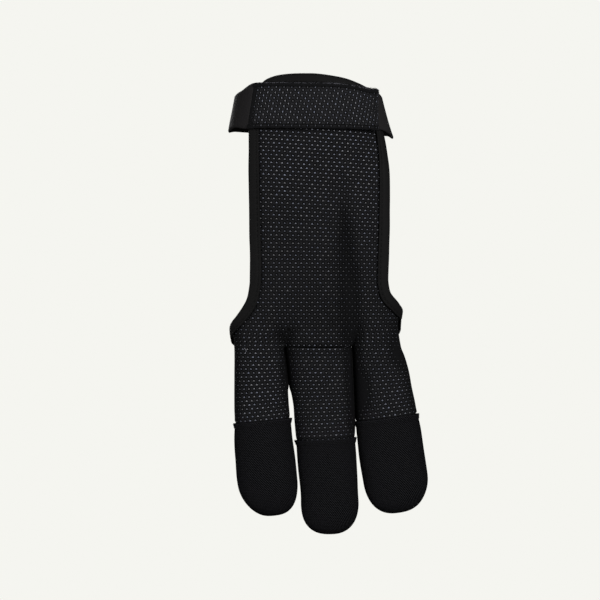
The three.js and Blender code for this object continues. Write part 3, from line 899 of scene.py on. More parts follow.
@dataclass(frozen=True)
class Thread:
    """A sewing thread, laid as separate stitches.

    Attributes:
        length: length of a stitch.
        gap: cloth between two stitches.
        radius: the thread's radius.
        proud: how much of a stitch stands out of the cloth.
    """

    length: float = 1.7 * MM
    gap: float = 0.75 * MM
    radius: float = 0.17 * MM
    proud: float = 0.06 * MM

    def sew(self, bm: bmesh.types.BMesh, line: Sequence[tuple[Vector, Vector]]) -> None:
        """Lays stitches along a line.

        Args:
            bm: the mesh that gets the stitches.
            line: points with the direction away from the cloth.
        """
        pitch = self.length + self.gap
        walked, due = 0.0, pitch / 2
        for (a, out_a), (b, _) in zip(line, line[1:]):
            span = (b - a).length
            while span > 0 and due <= walked + span:
                way = (b - a) / span
                out = (out_a - way * out_a.dot(way)).normalized()
                perch = Perch(a + way * (due - walked), way, out)
                bmesh.ops.create_uvsphere(
                    bm, u_segments=6, v_segments=4, radius=1.0,
                    matrix=perch.matrix(self.length / 2, self.radius, self.radius, -self.proud),
                )
                due += pitch
            walked += span


@dataclass(frozen=True)
class Fluff:
    """Short loose fibres along a worn edge.

    Attributes:
        count: how many there are.
        length: the shortest and the longest.
        radius: a fibre's radius.
        mess: how far they lean out of the edge's direction.
    """

    count: int
    length: tuple[float, float] = (0.4 * MM, 1.3 * MM)
    radius: float = 0.05 * MM
    mess: float = 0.9

    def grow(self, name: str, slot: str, edge: Callable[[float], tuple[Vector, Vector]],
             finish: Material) -> Object:
        """Grows the fibres along an edge.

        Args:
            name: the piece's name.
            slot: the record's material slot.
            edge: gives a point and the way out of the cloth for a share of the edge.
            finish: the fibres' material.

        Returns:
            The object.
        """
        draw = random.Random(name)
        bm = bmesh.new()
        for _ in range(self.count):
            at, out = edge(draw.random())
            lean = Vector([draw.uniform(-1, 1) for _ in range(3)])
            way = (out + lean * self.mess).normalized()
            length = draw.uniform(*self.length)
            perch = Perch(at, way.orthogonal().normalized(), way)
            matrix = perch.matrix(self.radius, self.radius, length, -0.4 * length)
            bmesh.ops.create_cone(
                bm, cap_ends=True, segments=3, radius1=1.0, radius2=0.4, depth=1.0, matrix=matrix
            )
        return Piece(name, slot).finish(bm, finish)


def lay_thread(bm: bmesh.types.BMesh, path: Sequence[Vector], radius: float, sides: int = 6) -> None:
    """Lays a thin round thread along a path.

    Args:
        bm: the mesh that gets it.
        path: its points.
        radius: its radius.
        sides: faces round it.
    """
    patch: Patch = []
    for i, at in enumerate(path):
        way = (path[min(len(path) - 1, i + 1)] - path[max(0, i - 1)]).normalized()
        right = way.cross(Vector((0, -1, 0))).normalized()
        up = right.cross(way)
        turns = [2 * math.pi * t for t in steps(sides)]
        patch.append([Spot(at + (right * math.cos(a) + up * math.sin(a)) * radius) for a in turns])
    lay_patch(bm, patch)


# Finishes


class Pattern(Enum):
    """What a cloth shows close up: its name; a spot's width and height, as shares of the pitch; its skew."""

    AIR_MESH = ("air mesh", 0.4, 0.62, 0.0)
    WEAVE = ("weave", 0.3, 0.52, 0.9)
    KNIT = ("knit", 0.45, 0.85, 0.0)
    HOOKS = ("hooks", 0.45, 0.85, 0.0)
    RIBS = ("ribs", 0.0, 0.0, 0.0)


class NodeSketch:
    """A short way to place and link shader nodes in a tree."""

    def __init__(self, tree: NodeTree) -> None:
        """Takes the tree that gets the nodes."""
        self.tree = tree

    def add(self, kind: str, **settings: object) -> Node:
        """A new node with its settings.

        Args:
            kind: the node's type.
            settings: its properties.

        Returns:
            The node.
        """
        node = self.tree.nodes.new(kind)
        for key, value in settings.items():
            setattr(node, key, value)
        return node

    def feed(self, source: object, socket: NodeSocket) -> None:
        """Links a socket to an output, or sets its value.

        Args:
            source: the output or value.
            socket: the socket.
        """
        if isinstance(source, NodeSocket):
            self.tree.links.new(source, socket)
        else:
            socket.default_value = source

    def math(self, operation: str, *values: object, clamp: bool = False) -> NodeSocket:
        """A Math node's output.

        Args:
            operation: its operation.
            values: outputs or numbers.
            clamp: whether it is held from 0 to 1.

        Returns:
            The output.
        """
        node = self.add("ShaderNodeMath", operation=operation, use_clamp=clamp)
        for value, socket in zip(values, node.inputs):
            self.feed(value, socket)
        return node.outputs[0]

    def vector(self, operation: str, *values: object) -> NodeSocket:
        """A Vector Math node's vector output, or its value where it has only that.

        Args:
            operation: its operation.
            values: outputs or vectors.

        Returns:
            The output.
        """
        node = self.add("ShaderNodeVectorMath", operation=operation)
        for value, socket in zip(values, node.inputs):
            self.feed(value, socket)
        return node.outputs["Value" if operation == "LENGTH" else "Vector"]

    def soft_step(self, value: object, low: float, high: float) -> NodeSocket:
        """0 below low, 1 above high, soft between. low may be the larger, which turns it round.

        Args:
            value: the output that is read.
            low: where the step begins.
            high: where it ends.

        Returns:
            The step.
        """
        node = self.add("ShaderNodeMapRange", interpolation_type="SMOOTHSTEP")
        flip = low > high
        for socket, x in zip(
            ("Value", "From Min", "From Max", "To Min", "To Max"),
            (value, min(low, high), max(low, high), float(flip), float(not flip)),
        ):
            self.feed(x, node.inputs[socket])
        return node.outputs["Result"]

    def mix(self, share: object, a: object, b: object) -> NodeSocket:
        """A colour on the way from a to b.

        Args:
            share: how far on the way.
            a: the first colour.
            b: the second.

        Returns:
            The colour.
        """
        node = self.add("ShaderNodeMix", data_type="RGBA")
        for value, socket in zip((share, a, b), (node.inputs[0], node.inputs[6], node.inputs[7])):
            self.feed(value, socket)
        return node.outputs[2]


class SurfaceSketch(NodeSketch):
    """A new material with its shader and the cloth's attribute, ready for a finish's nodes."""

    def __init__(self, name: str) -> None:
        """Makes the material.

        Args:
            name: the material's name.
        """
        self.made = bpy.data.materials.new(name)
        self.made.use_nodes = True
        super().__init__(self.made.node_tree)
        self.tree.nodes.clear()
        self.shader = self.add("ShaderNodeBsdfPrincipled")
        self.feed(self.shader.outputs[0], self.add("ShaderNodeOutputMaterial").inputs[0])
        self.cloth = self.add("ShaderNodeAttribute", attribute_name=CLOTH).outputs["Vector"]
        apart = self.add("ShaderNodeSeparateXYZ")
        self.feed(self.cloth, apart.inputs[0])
        self.across, self.down, self.show = apart.outputs

    def look(self, **values: float) -> None:
        """Sets the shader's constant sockets, by name with underscores for spaces."""
        for key, value in values.items():
            self.shader.inputs[key.replace("_", " ")].default_value = value


@dataclass(frozen=True)
class Effect:
    """A shader node group that several finishes share.

    Attributes:
        name: the group's name.
        inputs: names and kinds of its inputs.
        outputs: names of its values.
        draw: places its nodes; it is given the sketch, the inputs and the outputs.
    """

    name: str
    inputs: tuple[tuple[str, str, object], ...]
    outputs: tuple[str, ...]
    draw: Callable[[NodeSketch, Node, Node], None]

    def group(self) -> NodeTree:
        """The node group, built once.

        Returns:
            The group.
        """
        if self.name in bpy.data.node_groups:
            return bpy.data.node_groups[self.name]
        tree = bpy.data.node_groups.new(self.name, "ShaderNodeTree")
        for name, kind, value in self.inputs:
            socket = tree.interface.new_socket(name, in_out="INPUT", socket_type=kind)
            if value is not None:
                socket.default_value = value
        for name in self.outputs:
            tree.interface.new_socket(name, in_out="OUTPUT", socket_type="NodeSocketFloat")
        sketch = NodeSketch(tree)
        self.draw(sketch, sketch.add("NodeGroupInput"), sketch.add("NodeGroupOutput"))
        return tree

    def place(self, sketch: NodeSketch, **values: object) -> Node:
        """Places the group in a material.

        Args:
            sketch: the material's sketch.
            values: inputs, by name with underscores for spaces.

        Returns:
            The group's node.
        """
        node = sketch.add("ShaderNodeGroup", node_tree=self.group())
        for key, value in values.items():
            sketch.feed(value, node.inputs[key.replace("_", " ")])
        return node


def draw_spots(sketch: NodeSketch, given: Node, result: Node) -> None:
    """Rows of soft elliptical spots, each row shifted by half a pitch.

    Args:
        sketch: the group's sketch.
        given: the group's inputs.
        result: the group's outputs.
    """
    apart = sketch.add("ShaderNodeSeparateXYZ")
    sketch.feed(given.outputs["Vector"], apart.inputs[0])
    slid = sketch.math("MULTIPLY", apart.outputs[1], given.outputs["Slant"])
    leant = sketch.math("SUBTRACT", apart.outputs[0], slid)
    pitch, rows = given.outputs["Pitch"], sketch.math("MULTIPLY", given.outputs["Rise"], 2.0)

    def from_spot(at: object, cell: object, shift: float, size: object) -> NodeSocket:
        """How far a point is from its cell's middle on one axis, in a spot's own size."""
        share = sketch.math("FRACT", sketch.math("ADD", sketch.math("DIVIDE", at, cell), shift))
        return sketch.math("DIVIDE", sketch.math("MULTIPLY", sketch.math("SUBTRACT", share, 0.5), cell), size)

    distances = []
    for shift in (0.5, 0.0):
        wide = from_spot(leant, pitch, shift, given.outputs["Wide"])
        tall = from_spot(apart.outputs[1], rows, shift, given.outputs["Tall"])
        skew = sketch.math("SUBTRACT", wide, sketch.math("MULTIPLY", tall, given.outputs["Skew"]))
        join = sketch.add("ShaderNodeCombineXYZ")
        sketch.feed(skew, join.inputs[0])
        sketch.feed(tall, join.inputs[1])
        distances.append(sketch.vector("LENGTH", join.outputs[0]))
    nearest = sketch.math("MINIMUM", *distances)
    sketch.feed(sketch.soft_step(nearest, 1.25, 0.55), result.inputs["Spot"])


def draw_mottle(sketch: NodeSketch, given: Node, result: Node) -> None:
    """Uneven dye and fluff: a broad and a fine noise, both about 0.5.

    Args:
        sketch: the group's sketch.
        given: the group's inputs.
        result: the group's outputs.
    """
    for name, scale, detail in (("Broad", 38.0, 3.0), ("Fine", 1500.0, 1.0)):
        cloud = sketch.add("ShaderNodeTexNoise")
        sketch.feed(given.outputs["Vector"], cloud.inputs["Vector"])
        cloud.inputs["Scale"].default_value = scale
        cloud.inputs["Detail"].default_value = detail
        sketch.feed(cloud.outputs[0], result.inputs[name])


def draw_ribs(sketch: NodeSketch, given: Node, result: Node) -> None:
    """Fine parallel ribs, 1 on a rib and 0 between, crossed by weaker ones.

    Args:
        sketch: the group's sketch.
        given: the group's inputs.
        result: the group's outputs.
    """
    apart = sketch.add("ShaderNodeSeparateXYZ")
    sketch.feed(given.outputs["Vector"], apart.inputs[0])
    lines = []
    for axis, pitch in ((0, "Pitch"), (1, "Cross")):
        turn = sketch.math("MULTIPLY", sketch.math(
            "DIVIDE", apart.outputs[axis], given.outputs[pitch]), 2 * math.pi)
        wave = sketch.math("MULTIPLY", sketch.math("SINE", turn), 0.5)
        lines.append(sketch.math("ADD", wave, 0.5))
    sketch.feed(sketch.math("MULTIPLY", lines[0], sketch.math(
        "ADD", sketch.math("MULTIPLY", lines[1], 0.5), 0.5)), result.inputs["Grid"])


FLOAT, VECTOR = "NodeSocketFloat", "NodeSocketVector"
SPOTS = Effect(
    "staggered_spots",
    (("Vector", VECTOR, None), ("Pitch", FLOAT, 0.002), ("Rise", FLOAT, 0.002), ("Wide", FLOAT, 0.001),
     ("Tall", FLOAT, 0.001), ("Slant", FLOAT, 0.0), ("Skew", FLOAT, 0.0)),
    ("Spot",),
    draw_spots,
)
MOTTLE = Effect("mottled_dye", (("Vector", VECTOR, None),), ("Broad", "Fine"), draw_mottle)
RIBS = Effect(
    "fine_ribs",
    (("Vector", VECTOR, None), ("Pitch", FLOAT, 0.001), ("Cross", FLOAT, 0.001)),
    ("Grid",),
    draw_ribs,
)


def grey(level: float, red: float = 0.0, blue: float = 0.0) -> tuple[float, float, float, float]:
    """A dark, nearly neutral colour from an sRGB level of 0 to 255.

    Args:
        level: the level.
        red: how much more red it has, as a share.
        blue: how much more blue it has.

    Returns:
        The linear colour with alpha.
    """
    def linear(x: float) -> float:
        """One channel's linear value."""
        share = x / 255
        return share / 12.92 if share <= 0.04045 else ((share + 0.055) / 1.055) ** 2.4

    return linear(level * (1 + red)), linear(level), linear(level * (1 + blue)), 1.0


@dataclass(frozen=True)
class ClothFinish:
    """A cloth's finish.

    Attributes:
        name: the material's name.
        pattern: what it shows close up.
        ground: level of the cloth in its hollows.
        yarn: level of the cloth on its raised yarn.
        tint: how much more red and blue both have, as shares.
        roughness: the surface's roughness.
        specular: strength of its gloss.
        pitch: the pattern's distance across and down.
        bump: height of its relief.
        slant: lean of its rows.
        sideways: whether the cloth lies turned by a quarter.
        wear: how far worn parts turn paler.
        shade: how far the ground darkens where the finish is weak: painted shade where the mesh turns away and
            in its folds, and darker plain hems on the strap.
    """

    name: str
    pattern: Pattern
    ground: float
    yarn: float
    tint: tuple[float, float] = (0.0, 0.07)
    roughness: float = 0.85
    specular: float = 0.02
    pitch: tuple[float, float] = (1.0 * MM, 1.0 * MM)
    bump: float = 0.12 * MM
    slant: float = 0.0
    sideways: bool = False
    wear: float = 0.12
    shade: float = 0.65

    def material(self) -> Material:
        """The finish as a node material.

        Returns:
            The material.
        """
        sketch = SurfaceSketch(self.name)
        dye = MOTTLE.place(sketch, Vector=sketch.add("ShaderNodeTexCoord").outputs["Object"])
        raised = self.relief(sketch)
        patchy = sketch.soft_step(dye.outputs["Fine"], 0.25, 0.75)
        lift = sketch.math("MULTIPLY", raised, sketch.math("MULTIPLY_ADD", patchy, 0.5, 0.75), clamp=True)
        colour = sketch.mix(lift, grey(self.ground, *self.tint), grey(self.yarn, *self.tint))
        worn = sketch.math("MULTIPLY", sketch.soft_step(dye.outputs["Broad"], 0.35, 0.75), self.wear)
        colour = sketch.mix(worn, colour, grey(self.yarn * 1.12, *self.tint))
        fluff = sketch.math("MULTIPLY", sketch.soft_step(sketch.show, 1.2, 2.0), 0.8)
        colour = sketch.mix(fluff, colour, grey(self.yarn * 1.3 + 14, *self.tint))
        # Painted shade: the ground darkens where the finish is weak, on the mesh's turned-away sides and folds
        # and in the strap's plain hems.
        painted_shade = sketch.math("MULTIPLY", sketch.soft_step(sketch.show, 0.8, 0.15), self.shade)
        colour = sketch.mix(painted_shade, colour, grey(self.ground * 0.5, *self.tint))
        sketch.feed(colour, sketch.shader.inputs["Base Color"])
        sketch.look(Roughness=self.roughness, Specular_IOR_Level=self.specular)
        bump = sketch.add("ShaderNodeBump")
        bump.inputs["Strength"].default_value = 0.8
        bump.inputs["Distance"].default_value = self.bump
        sketch.feed(sketch.math("MULTIPLY_ADD", dye.outputs["Fine"], 0.4, raised), bump.inputs["Height"])
        sketch.feed(bump.outputs[0], sketch.shader.inputs["Normal"])
        return sketch.made

    def relief(self, sketch: SurfaceSketch) -> NodeSocket:
        """The pattern's nodes.

        Args:
            sketch: the material's sketch.

        Returns:
            How far the yarn stands out, from 0 to 1. The mesh has no holes where the finish is weak.
        """
        across, down = self.pitch
        if self.pattern is Pattern.RIBS:
            return RIBS.place(sketch, Vector=sketch.cloth, Pitch=across, Cross=down).outputs["Grid"]
        _, wide_share, tall_share, skew = self.pattern.value
        rise, wide, tall = down, across * wide_share, down * tall_share
        if self.sideways:
            across, rise, wide, tall = down * 2, across / 2, tall, wide
        spots = SPOTS.place(
            sketch, Vector=sketch.cloth, Pitch=across, Rise=rise, Wide=wide, Tall=tall, Slant=self.slant,
            Skew=skew,
        ).outputs["Spot"]
        if self.pattern is not Pattern.AIR_MESH:
            return spots
        present = sketch.soft_step(sketch.show, 0.06, 0.4)
        return sketch.math("SUBTRACT", 1.0, sketch.math("MULTIPLY", spots, present))


@dataclass(frozen=True)
class GlintFinish:
    """The finish of the lugs behind the mesh: a lighter film whose brightness is a painted highlight, each a
    little different.

    Attributes:
        name: the material's name.
        dim: level of the dullest lug.
        bright: level of the brightest lug.
    """

    name: str = "mesh_glints"
    dim: float = 20.0
    bright: float = 96.0

    def material(self) -> Material:
        """The finish as a node material. The lugs' attribute holds their brightness, which is the painted
        highlight, their tint and their strength.

        Returns:
            The material.
        """
        sketch = SurfaceSketch(self.name)
        # Painted highlight: each lug's colour runs from dim to bright with its brightness.
        tint = sketch.mix(sketch.down, grey(self.bright, -0.04, 0.13), grey(self.bright, 0.0, 0.03))
        share = sketch.math("MULTIPLY", sketch.across, 0.78, clamp=True)
        sketch.feed(sketch.mix(share, grey(self.dim), tint), sketch.shader.inputs["Base Color"])
        sketch.look(Roughness=0.55, Specular_IOR_Level=0.06)
        return sketch.made


@dataclass(frozen=True)
class Wardrobe:
    """Every finish of the glove, as materials."""

    mesh: Material
    strap_mesh: Material
    glints: Material
    lining: Material
    stretch: Material
    tips: Material
    tape: Material
    elastic: Material
    hooks: Material
    thread: Material
    pale_thread: Material
    fluff: Material


AIR = (2.45 * MM, 1.75 * MM)
FINE = (0.3 * MM, 0.3 * MM)
SKIN_LIT = (0.04, 0.03)
FINISHES = {
    "mesh": ClothFinish("air_mesh", Pattern.AIR_MESH, 7, 22, pitch=AIR, bump=0.35 * MM),
    "strap_mesh": ClothFinish(
        "strap_air_mesh", Pattern.AIR_MESH, 10, 27, pitch=AIR, bump=0.35 * MM, slant=-0.1, sideways=True,
        shade=0.75,
    ),
    "glints": GlintFinish(),
    "lining": ClothFinish("brushed_lining", Pattern.KNIT, 14, 26, pitch=(0.9 * MM, 0.55 * MM), bump=0.1 * MM),
    "stretch": ClothFinish(
        "stretch_knit", Pattern.KNIT, 8, 15, SKIN_LIT, pitch=(0.7 * MM, 0.5 * MM), bump=0.08 * MM
    ),
    "tips": ClothFinish(
        "woven_tips", Pattern.WEAVE, 1, 28, pitch=(0.98 * MM, 0.72 * MM), bump=0.25 * MM, slant=0.12,
        specular=0.0, wear=0.02,
    ),
    "tape": ClothFinish(
        "binding_tape", Pattern.RIBS, 8, 13, SKIN_LIT, roughness=0.7, specular=0.05,
        pitch=(0.42 * MM, 1.3 * MM), bump=0.04 * MM,
    ),
    "elastic": ClothFinish(
        "wrist_elastic", Pattern.RIBS, 20, 28, SKIN_LIT, roughness=0.8, pitch=(0.8 * MM, 0.6 * MM),
        bump=0.06 * MM,
    ),
    "hooks": ClothFinish(
        "hook_pad", Pattern.HOOKS, 8, 30, roughness=0.6, pitch=(1.1 * MM, 0.7 * MM), bump=0.3 * MM
    ),
    "thread": ClothFinish("black_thread", Pattern.RIBS, 5, 12, roughness=0.6, specular=0.08, pitch=FINE),
    "pale_thread": ClothFinish("pale_thread", Pattern.RIBS, 95, 125, roughness=0.7, pitch=FINE),
    "fluff": ClothFinish("worn_fluff", Pattern.RIBS, 45, 72, roughness=0.8, pitch=FINE),
}
WARDROBE = Wardrobe(**{key: finish.material() for key, finish in FINISHES.items()})


# Patches of the palm side


PALM_COLUMNS = 26  # cells across each finger's share of a panel
SIDE_TRIM = 0.04 * MM / (HAND.breadth * math.pi)  # half a seam's gap, as a place
HALF_SEAM = math.degrees(0.15 * MM / (0.14 * HAND.breadth))  # degrees of half a seam's gap round a finger
SIDE_SEAM = 90 - HALF_SEAM


@dataclass(frozen=True)
class PaintedGlintPatch:
    """A tilted part of the mesh whose glints and ground are dimmed as painted shade, or brightened as painted
    highlight where the strength is negative: centre and radii, in millimetres.
    """

    x: float
    z: float
    wide: float
    tall: float
    strength: float = 1.0


# Painted shade on the mesh's glints and ground: a valley down the palm, beside the finger gaps and on
# turned-away sides. Negative strengths are painted highlights.
PAINTED_GLINT_PATCHES = (
    PaintedGlintPatch(39.5, -110, 5, 6.5),
    PaintedGlintPatch(22.5, -128, 4.6, 9.5),
    PaintedGlintPatch(14.5, -56, 4.2, 18, 0.6),
    PaintedGlintPatch(17, -84, 5, 20, 0.72),
    PaintedGlintPatch(-12, -102, 5, 6, 0.7),
    PaintedGlintPatch(18, -103, 4.4, 7, 0.75),
    PaintedGlintPatch(-11, -119, 2.6, 12, 0.8),
    PaintedGlintPatch(19.2, -122, 3.4, 18, 0.85),
    PaintedGlintPatch(-36.2, -126, 2.4, 30, 0.95),
    PaintedGlintPatch(-27, -128, 7, 12, -0.2),  # painted highlights, lighter than the rest
    PaintedGlintPatch(34, -126, 6, 12, -0.3),
    PaintedGlintPatch(-8, -24, 22, 14, -0.06),
    PaintedGlintPatch(8, -96, 14, 8, 0.25),
    PaintedGlintPatch(34, -125, 12, 22, 0.3),
)
# drop; strength of the glints, brighter near the top as a painted highlight and dimmer down the lower palm as
# painted shade
PAINTED_GLINT_BY_DROP = Curve((
    (-0.1, 1.15), (0.15, 1.2), (0.4, 0.95), (0.7, 0.72), (0.9, 0.8), (1.05, 1.0), (1.4, 1.0)
))


def glint_strength(at: Vector, facing: float) -> float:
    """How strongly the mesh's glints show, as painted highlight and painted shade: by height, by how far the
    cloth faces forward and in listed patches.

    Args:
        at: the point.
        facing: how far the cloth faces the palm side there, 1 in full.

    Returns:
        The strength, 1 for an ordinary glint.
    """
    strength = PAINTED_GLINT_BY_DROP.read(-at.z / HAND.palm_drop) * smooth(0.1, 0.95, facing)
    for patch in PAINTED_GLINT_PATCHES:
        dx, dz = (at.x / MM - patch.x) / patch.wide, (at.z / MM - patch.z) / patch.tall
        strength *= 1 - patch.strength * math.exp(-dx * dx - dz * dz)
    return strength


def spread(low: float, split_a: float, split_b: float, high: float) -> list[float]:
    """Places across the hand, with as many cells for each finger.

    Args:
        low: the first place.
        split_a: the index finger's end.
        split_b: the middle finger's end.
        high: the last place.

    Returns:
        The places.
    """
    places = [low]
    for start, end in ((low, split_a), (split_a, split_b), (split_b, high)):
        places += [lerp(start, end, t) for t in steps(PALM_COLUMNS)[1:]]
    return places


def inner_seam(along: float, on_back: bool = False) -> float:
    """Degrees round a finger to where its palm-side or back cloth ends at the gusset."""
    return HAND.seam_at(along, on_back) - HALF_SEAM


def columns_of(row: Sequence[Spot], finger: int) -> list[Spot]:
    """The spots of one finger's share of a row."""
    return list(row[finger * PALM_COLUMNS:(finger + 1) * PALM_COLUMNS + 1])


def leg_patch(
    finger: Finger, start: Callable[[float], float], end: Callable[[float], float],
    first: list[Spot], rows: int = 44, tuck: float = 6 * MM,
) -> Patch:
    """One finger's part of a sheet, from its root to where it ends inside the cap.

    Args:
        finger: the finger.
        start: degrees round the finger where the sheet begins, by the distance along it.
        end: degrees where the sheet ends.
        first: the spots at the finger's root, which are measured already.
        rows: cells down the finger.
        tuck: how far it runs into the cap.

    Returns:
        The measured patch.
    """
    length = HAND.hem(finger) + tuck
    columns = len(first) - 1
    turns = [lerp(start(0), end(0), s) for s in steps(columns)]
    anchor = min(range(columns + 1), key=lambda i: abs((turns[i] + 90) % 180 - 90))
    patch = [first]
    for t in steps(rows)[1:]:
        along = length * t
        inset = HAND.tube_inset(finger, along)
        row = []
        for s in steps(columns):
            turn = lerp(start(along), end(along), s)
            at = HAND.finger_point(finger, turn, along, -inset)
            # The glints weaken round the finger's sides, where the cloth turns away: painted shade.
            aside = abs(math.sin(math.radians(turn))) ** (2 / HAND.finger_square)
            facing = math.sqrt(max(0.0, 1 - aside * aside))
            row.append(Spot(at, down=HAND.palm_drop + along, show=glint_strength(at, facing)))
        measure_across(row, anchor, first[anchor].across)
        patch.append(row)
    return patch


@dataclass
class PalmPanel:
    """The air-mesh palm panel with the fronts of the index and ring fingers."""

    arch_rise: float = 4.8 * MM
    rows: int = 120
    row_tilt: float = 0.06  # the cloth's rows fall to the little side near the wrist
    seam_dip: float = 0.9 * MM  # the panel dives into the seam above the middle finger
    seam_reach: float = 4 * MM
    wall: float = 1.3 * MM

    def palm_patch(self) -> Patch:
        """The palm from its top edge to the finger roots.

        Returns:
            The patch.
        """
        patch = []
        for row in steps(self.rows):
            thumb, little = thumb_stop(row), little_stop(row)
            trim = 0.0 if row < SIDE_ROW else SIDE_TRIM * 2
            low, high = thumb.place + trim, little.place - trim
            settle = smooth(0.45, 1, row)
            split_a = lerp(lerp(low, high, 1 / 3), INDEX_TO_MIDDLE, settle)
            split_b = lerp(lerp(low, high, 2 / 3), MIDDLE_TO_RING, settle)
            places = spread(low, split_a, split_b, high)
            rise = ARCH.read(row) * self.arch_rise
            spots = []
            for i, place in enumerate(places):
                s = i / (len(places) - 1)
                z = lerp(thumb.z, little.z, s) + rise * arch_at(s)
                at = HAND.skin(place, z)
                at.y += self.seam_fall(i, z)
                # The glints weaken towards the sides, where the cloth turns away: painted shade.
                facing = math.sin(math.pi * min(1.0, max(0.0, place))) ** 0.5
                spots.append(Spot(at, show=glint_strength(at, facing)))
            middle = len(spots) // 2
            measure_across(spots, middle, spots[middle].at.x)
            fade = self.row_tilt * (1 - smooth(0.3, 0.8, row))
            for spot in spots:
                spot.down = -spot.at.z - fade * spot.across
            patch.append(spots)
        return patch

    def seam_fall(self, column: int, z: float) -> float:
        """How far the panel dips into the seam above the middle finger.

        Args:
            column: the spot's column.
            z: the height.

        Returns:
            The depth.
        """
        share = (column - PALM_COLUMNS) / PALM_COLUMNS
        if not 0 < share < 1:
            return 0.0
        near = 1 - smooth(0, self.seam_reach, z + HAND.palm_drop)
        return self.seam_dip * near * smooth(0, 0.12, share) * smooth(0, 0.12, 1 - share)

    def build(self) -> Object:
        """Builds the panel and its glints.

        Returns:
            The panel.
        """
        palm = self.palm_patch()
        root = palm[-1]
        index = leg_patch(INDEX, lambda a: -SIDE_SEAM, inner_seam, columns_of(root, 0))
        ring = leg_patch(RING, lambda a: -inner_seam(a), lambda a: SIDE_SEAM, columns_of(root, 2))
        bm = bmesh.new()
        for patch in (palm, index, ring):
            lay_patch(bm, patch)
        weld(bm)
        piece = Piece("palm_mesh", "mesh", ("palm_panel",), self.wall)
        panel = piece.finish(bm, WARDROBE.mesh, WARDROBE.lining)
        trimmed = [
            [row[3:-3] for row in palm[4:]],
            *([row[1:-1] for row in leg] for leg in (index, ring)),
        ]
        glints = GlintField().build("palm_glints", trimmed, WARDROBE.glints)
        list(stray_threads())
        return panel


def stray_threads() -> list[Object]:
    """The loose thread ends that lie on the fingers: a white curl, a pale fibre and a black one.

    Returns:
        The ends.
    """
    curl = []
    for t in steps(16):
        turn, along = -34 + 5.5 * math.sin(0.8 * math.pi * t), (0.4 + 2.2 * t) * MM
        curl.append(HAND.finger_point(INDEX, turn, along, 0.2 * MM))
    fibre = [
        HAND.finger_point(MIDDLE, lerp(44, 54, t), lerp(0.2, -0.5, t * t) * MM, 1.0 * MM) for t in steps(8)
    ]
    start, end = HAND.finger_point(MIDDLE, 84, 31.4 * MM), HAND.finger_point(RING, -84, 32.6 * MM)
    bridge = [start.lerp(end, t) - Vector((0, 0, 0.5 * MM * math.sin(math.pi * t))) for t in steps(8)]
    made = []
    for name, path, radius, finish in (
        ("white_curl", curl, 0.065 * MM, WARDROBE.pale_thread),
        ("pale_fibre", fibre, 0.045 * MM, WARDROBE.fluff),
        ("black_loose_end", bridge, 0.14 * MM, WARDROBE.thread),
    ):
        bm = bmesh.new()
        lay_thread(bm, path, radius)
        weld(bm)
        made.append(Piece(name, "mesh").finish(bm, finish))
    return made


@dataclass
class MiddleFront:
    """The front of the middle finger: the same mesh, upside down, with a folded top edge."""

    wall: float = 1.3 * MM
    start: float = 0.05 * MM
    fold_proud: float = 0.95 * MM
    dimmed: float = 0.82  # the glints' strength upside down
    fold_width: float = 4.5 * MM
    fold_ends: float = 0.1  # share of the width over which the fold rises at each side
    fold_bright: float = 0.2  # how much stronger the glints are on it, as a painted highlight
    bright_reach: tuple[float, float] = (1.5 * MM, 3 * MM)
    roll: float = 0.9 * MM
    roll_depth: float = 1.6  # how much deeper than round the fold's edge rolls in

    def build(self) -> Object:
        """Builds the piece, its glints and its seam.

        Returns:
            The piece.
        """
        root = columns_of(PalmPanel(seam_dip=0).palm_patch()[-1], 1)
        first = []
        for spot in root:
            at = spot.at.copy()
            at.z -= self.start
            first.append(Spot(at, show=spot.show))
        measure_across(first, len(first) // 2, 0.0)
        for spot in first:
            spot.down = HAND.palm_drop + self.start
        patch = leg_patch(MIDDLE, lambda a: -inner_seam(a), inner_seam, first, rows=56)
        for row in patch:
            for spot in row:
                spot.show *= self.dimmed
        self.fold(patch)
        bm = bmesh.new()
        lay_patch(bm, patch)
        piece = Piece("middle_finger_mesh", "mesh", ("middle_finger_front",), self.wall)
        front = piece.finish(bm, WARDROBE.mesh, WARDROBE.lining)
        field_of = GlintField(upside_down=True)
        glints = field_of.build("middle_glints", [[row[1:-1] for row in patch[1:]]], WARDROBE.glints)
        return front

    def fold(self, patch: Patch) -> None:
        """Raises the folded edge at the top of the piece.

        Args:
            patch: the piece's spots.
        """
        columns = len(patch[0])
        tops = [spot.at.copy() for spot in patch[0]]
        for row in patch:
            for i, spot in enumerate(row):
                share = i / (columns - 1)
                edge = smooth(0, self.fold_ends, share) * smooth(0, self.fold_ends, 1 - share)
                away = (spot.at - tops[i]).length
                lift = self.fold_proud * (1 - smooth(self.roll, self.fold_width, away))
                # The proud fold gets a painted highlight: stronger glints near its top.
                spot.show *= 1 + self.fold_bright * edge * (1 - smooth(*self.bright_reach, away))
                spot.at.y -= edge * (lift - self.roll_depth * ellipse_roll(away, self.roll))


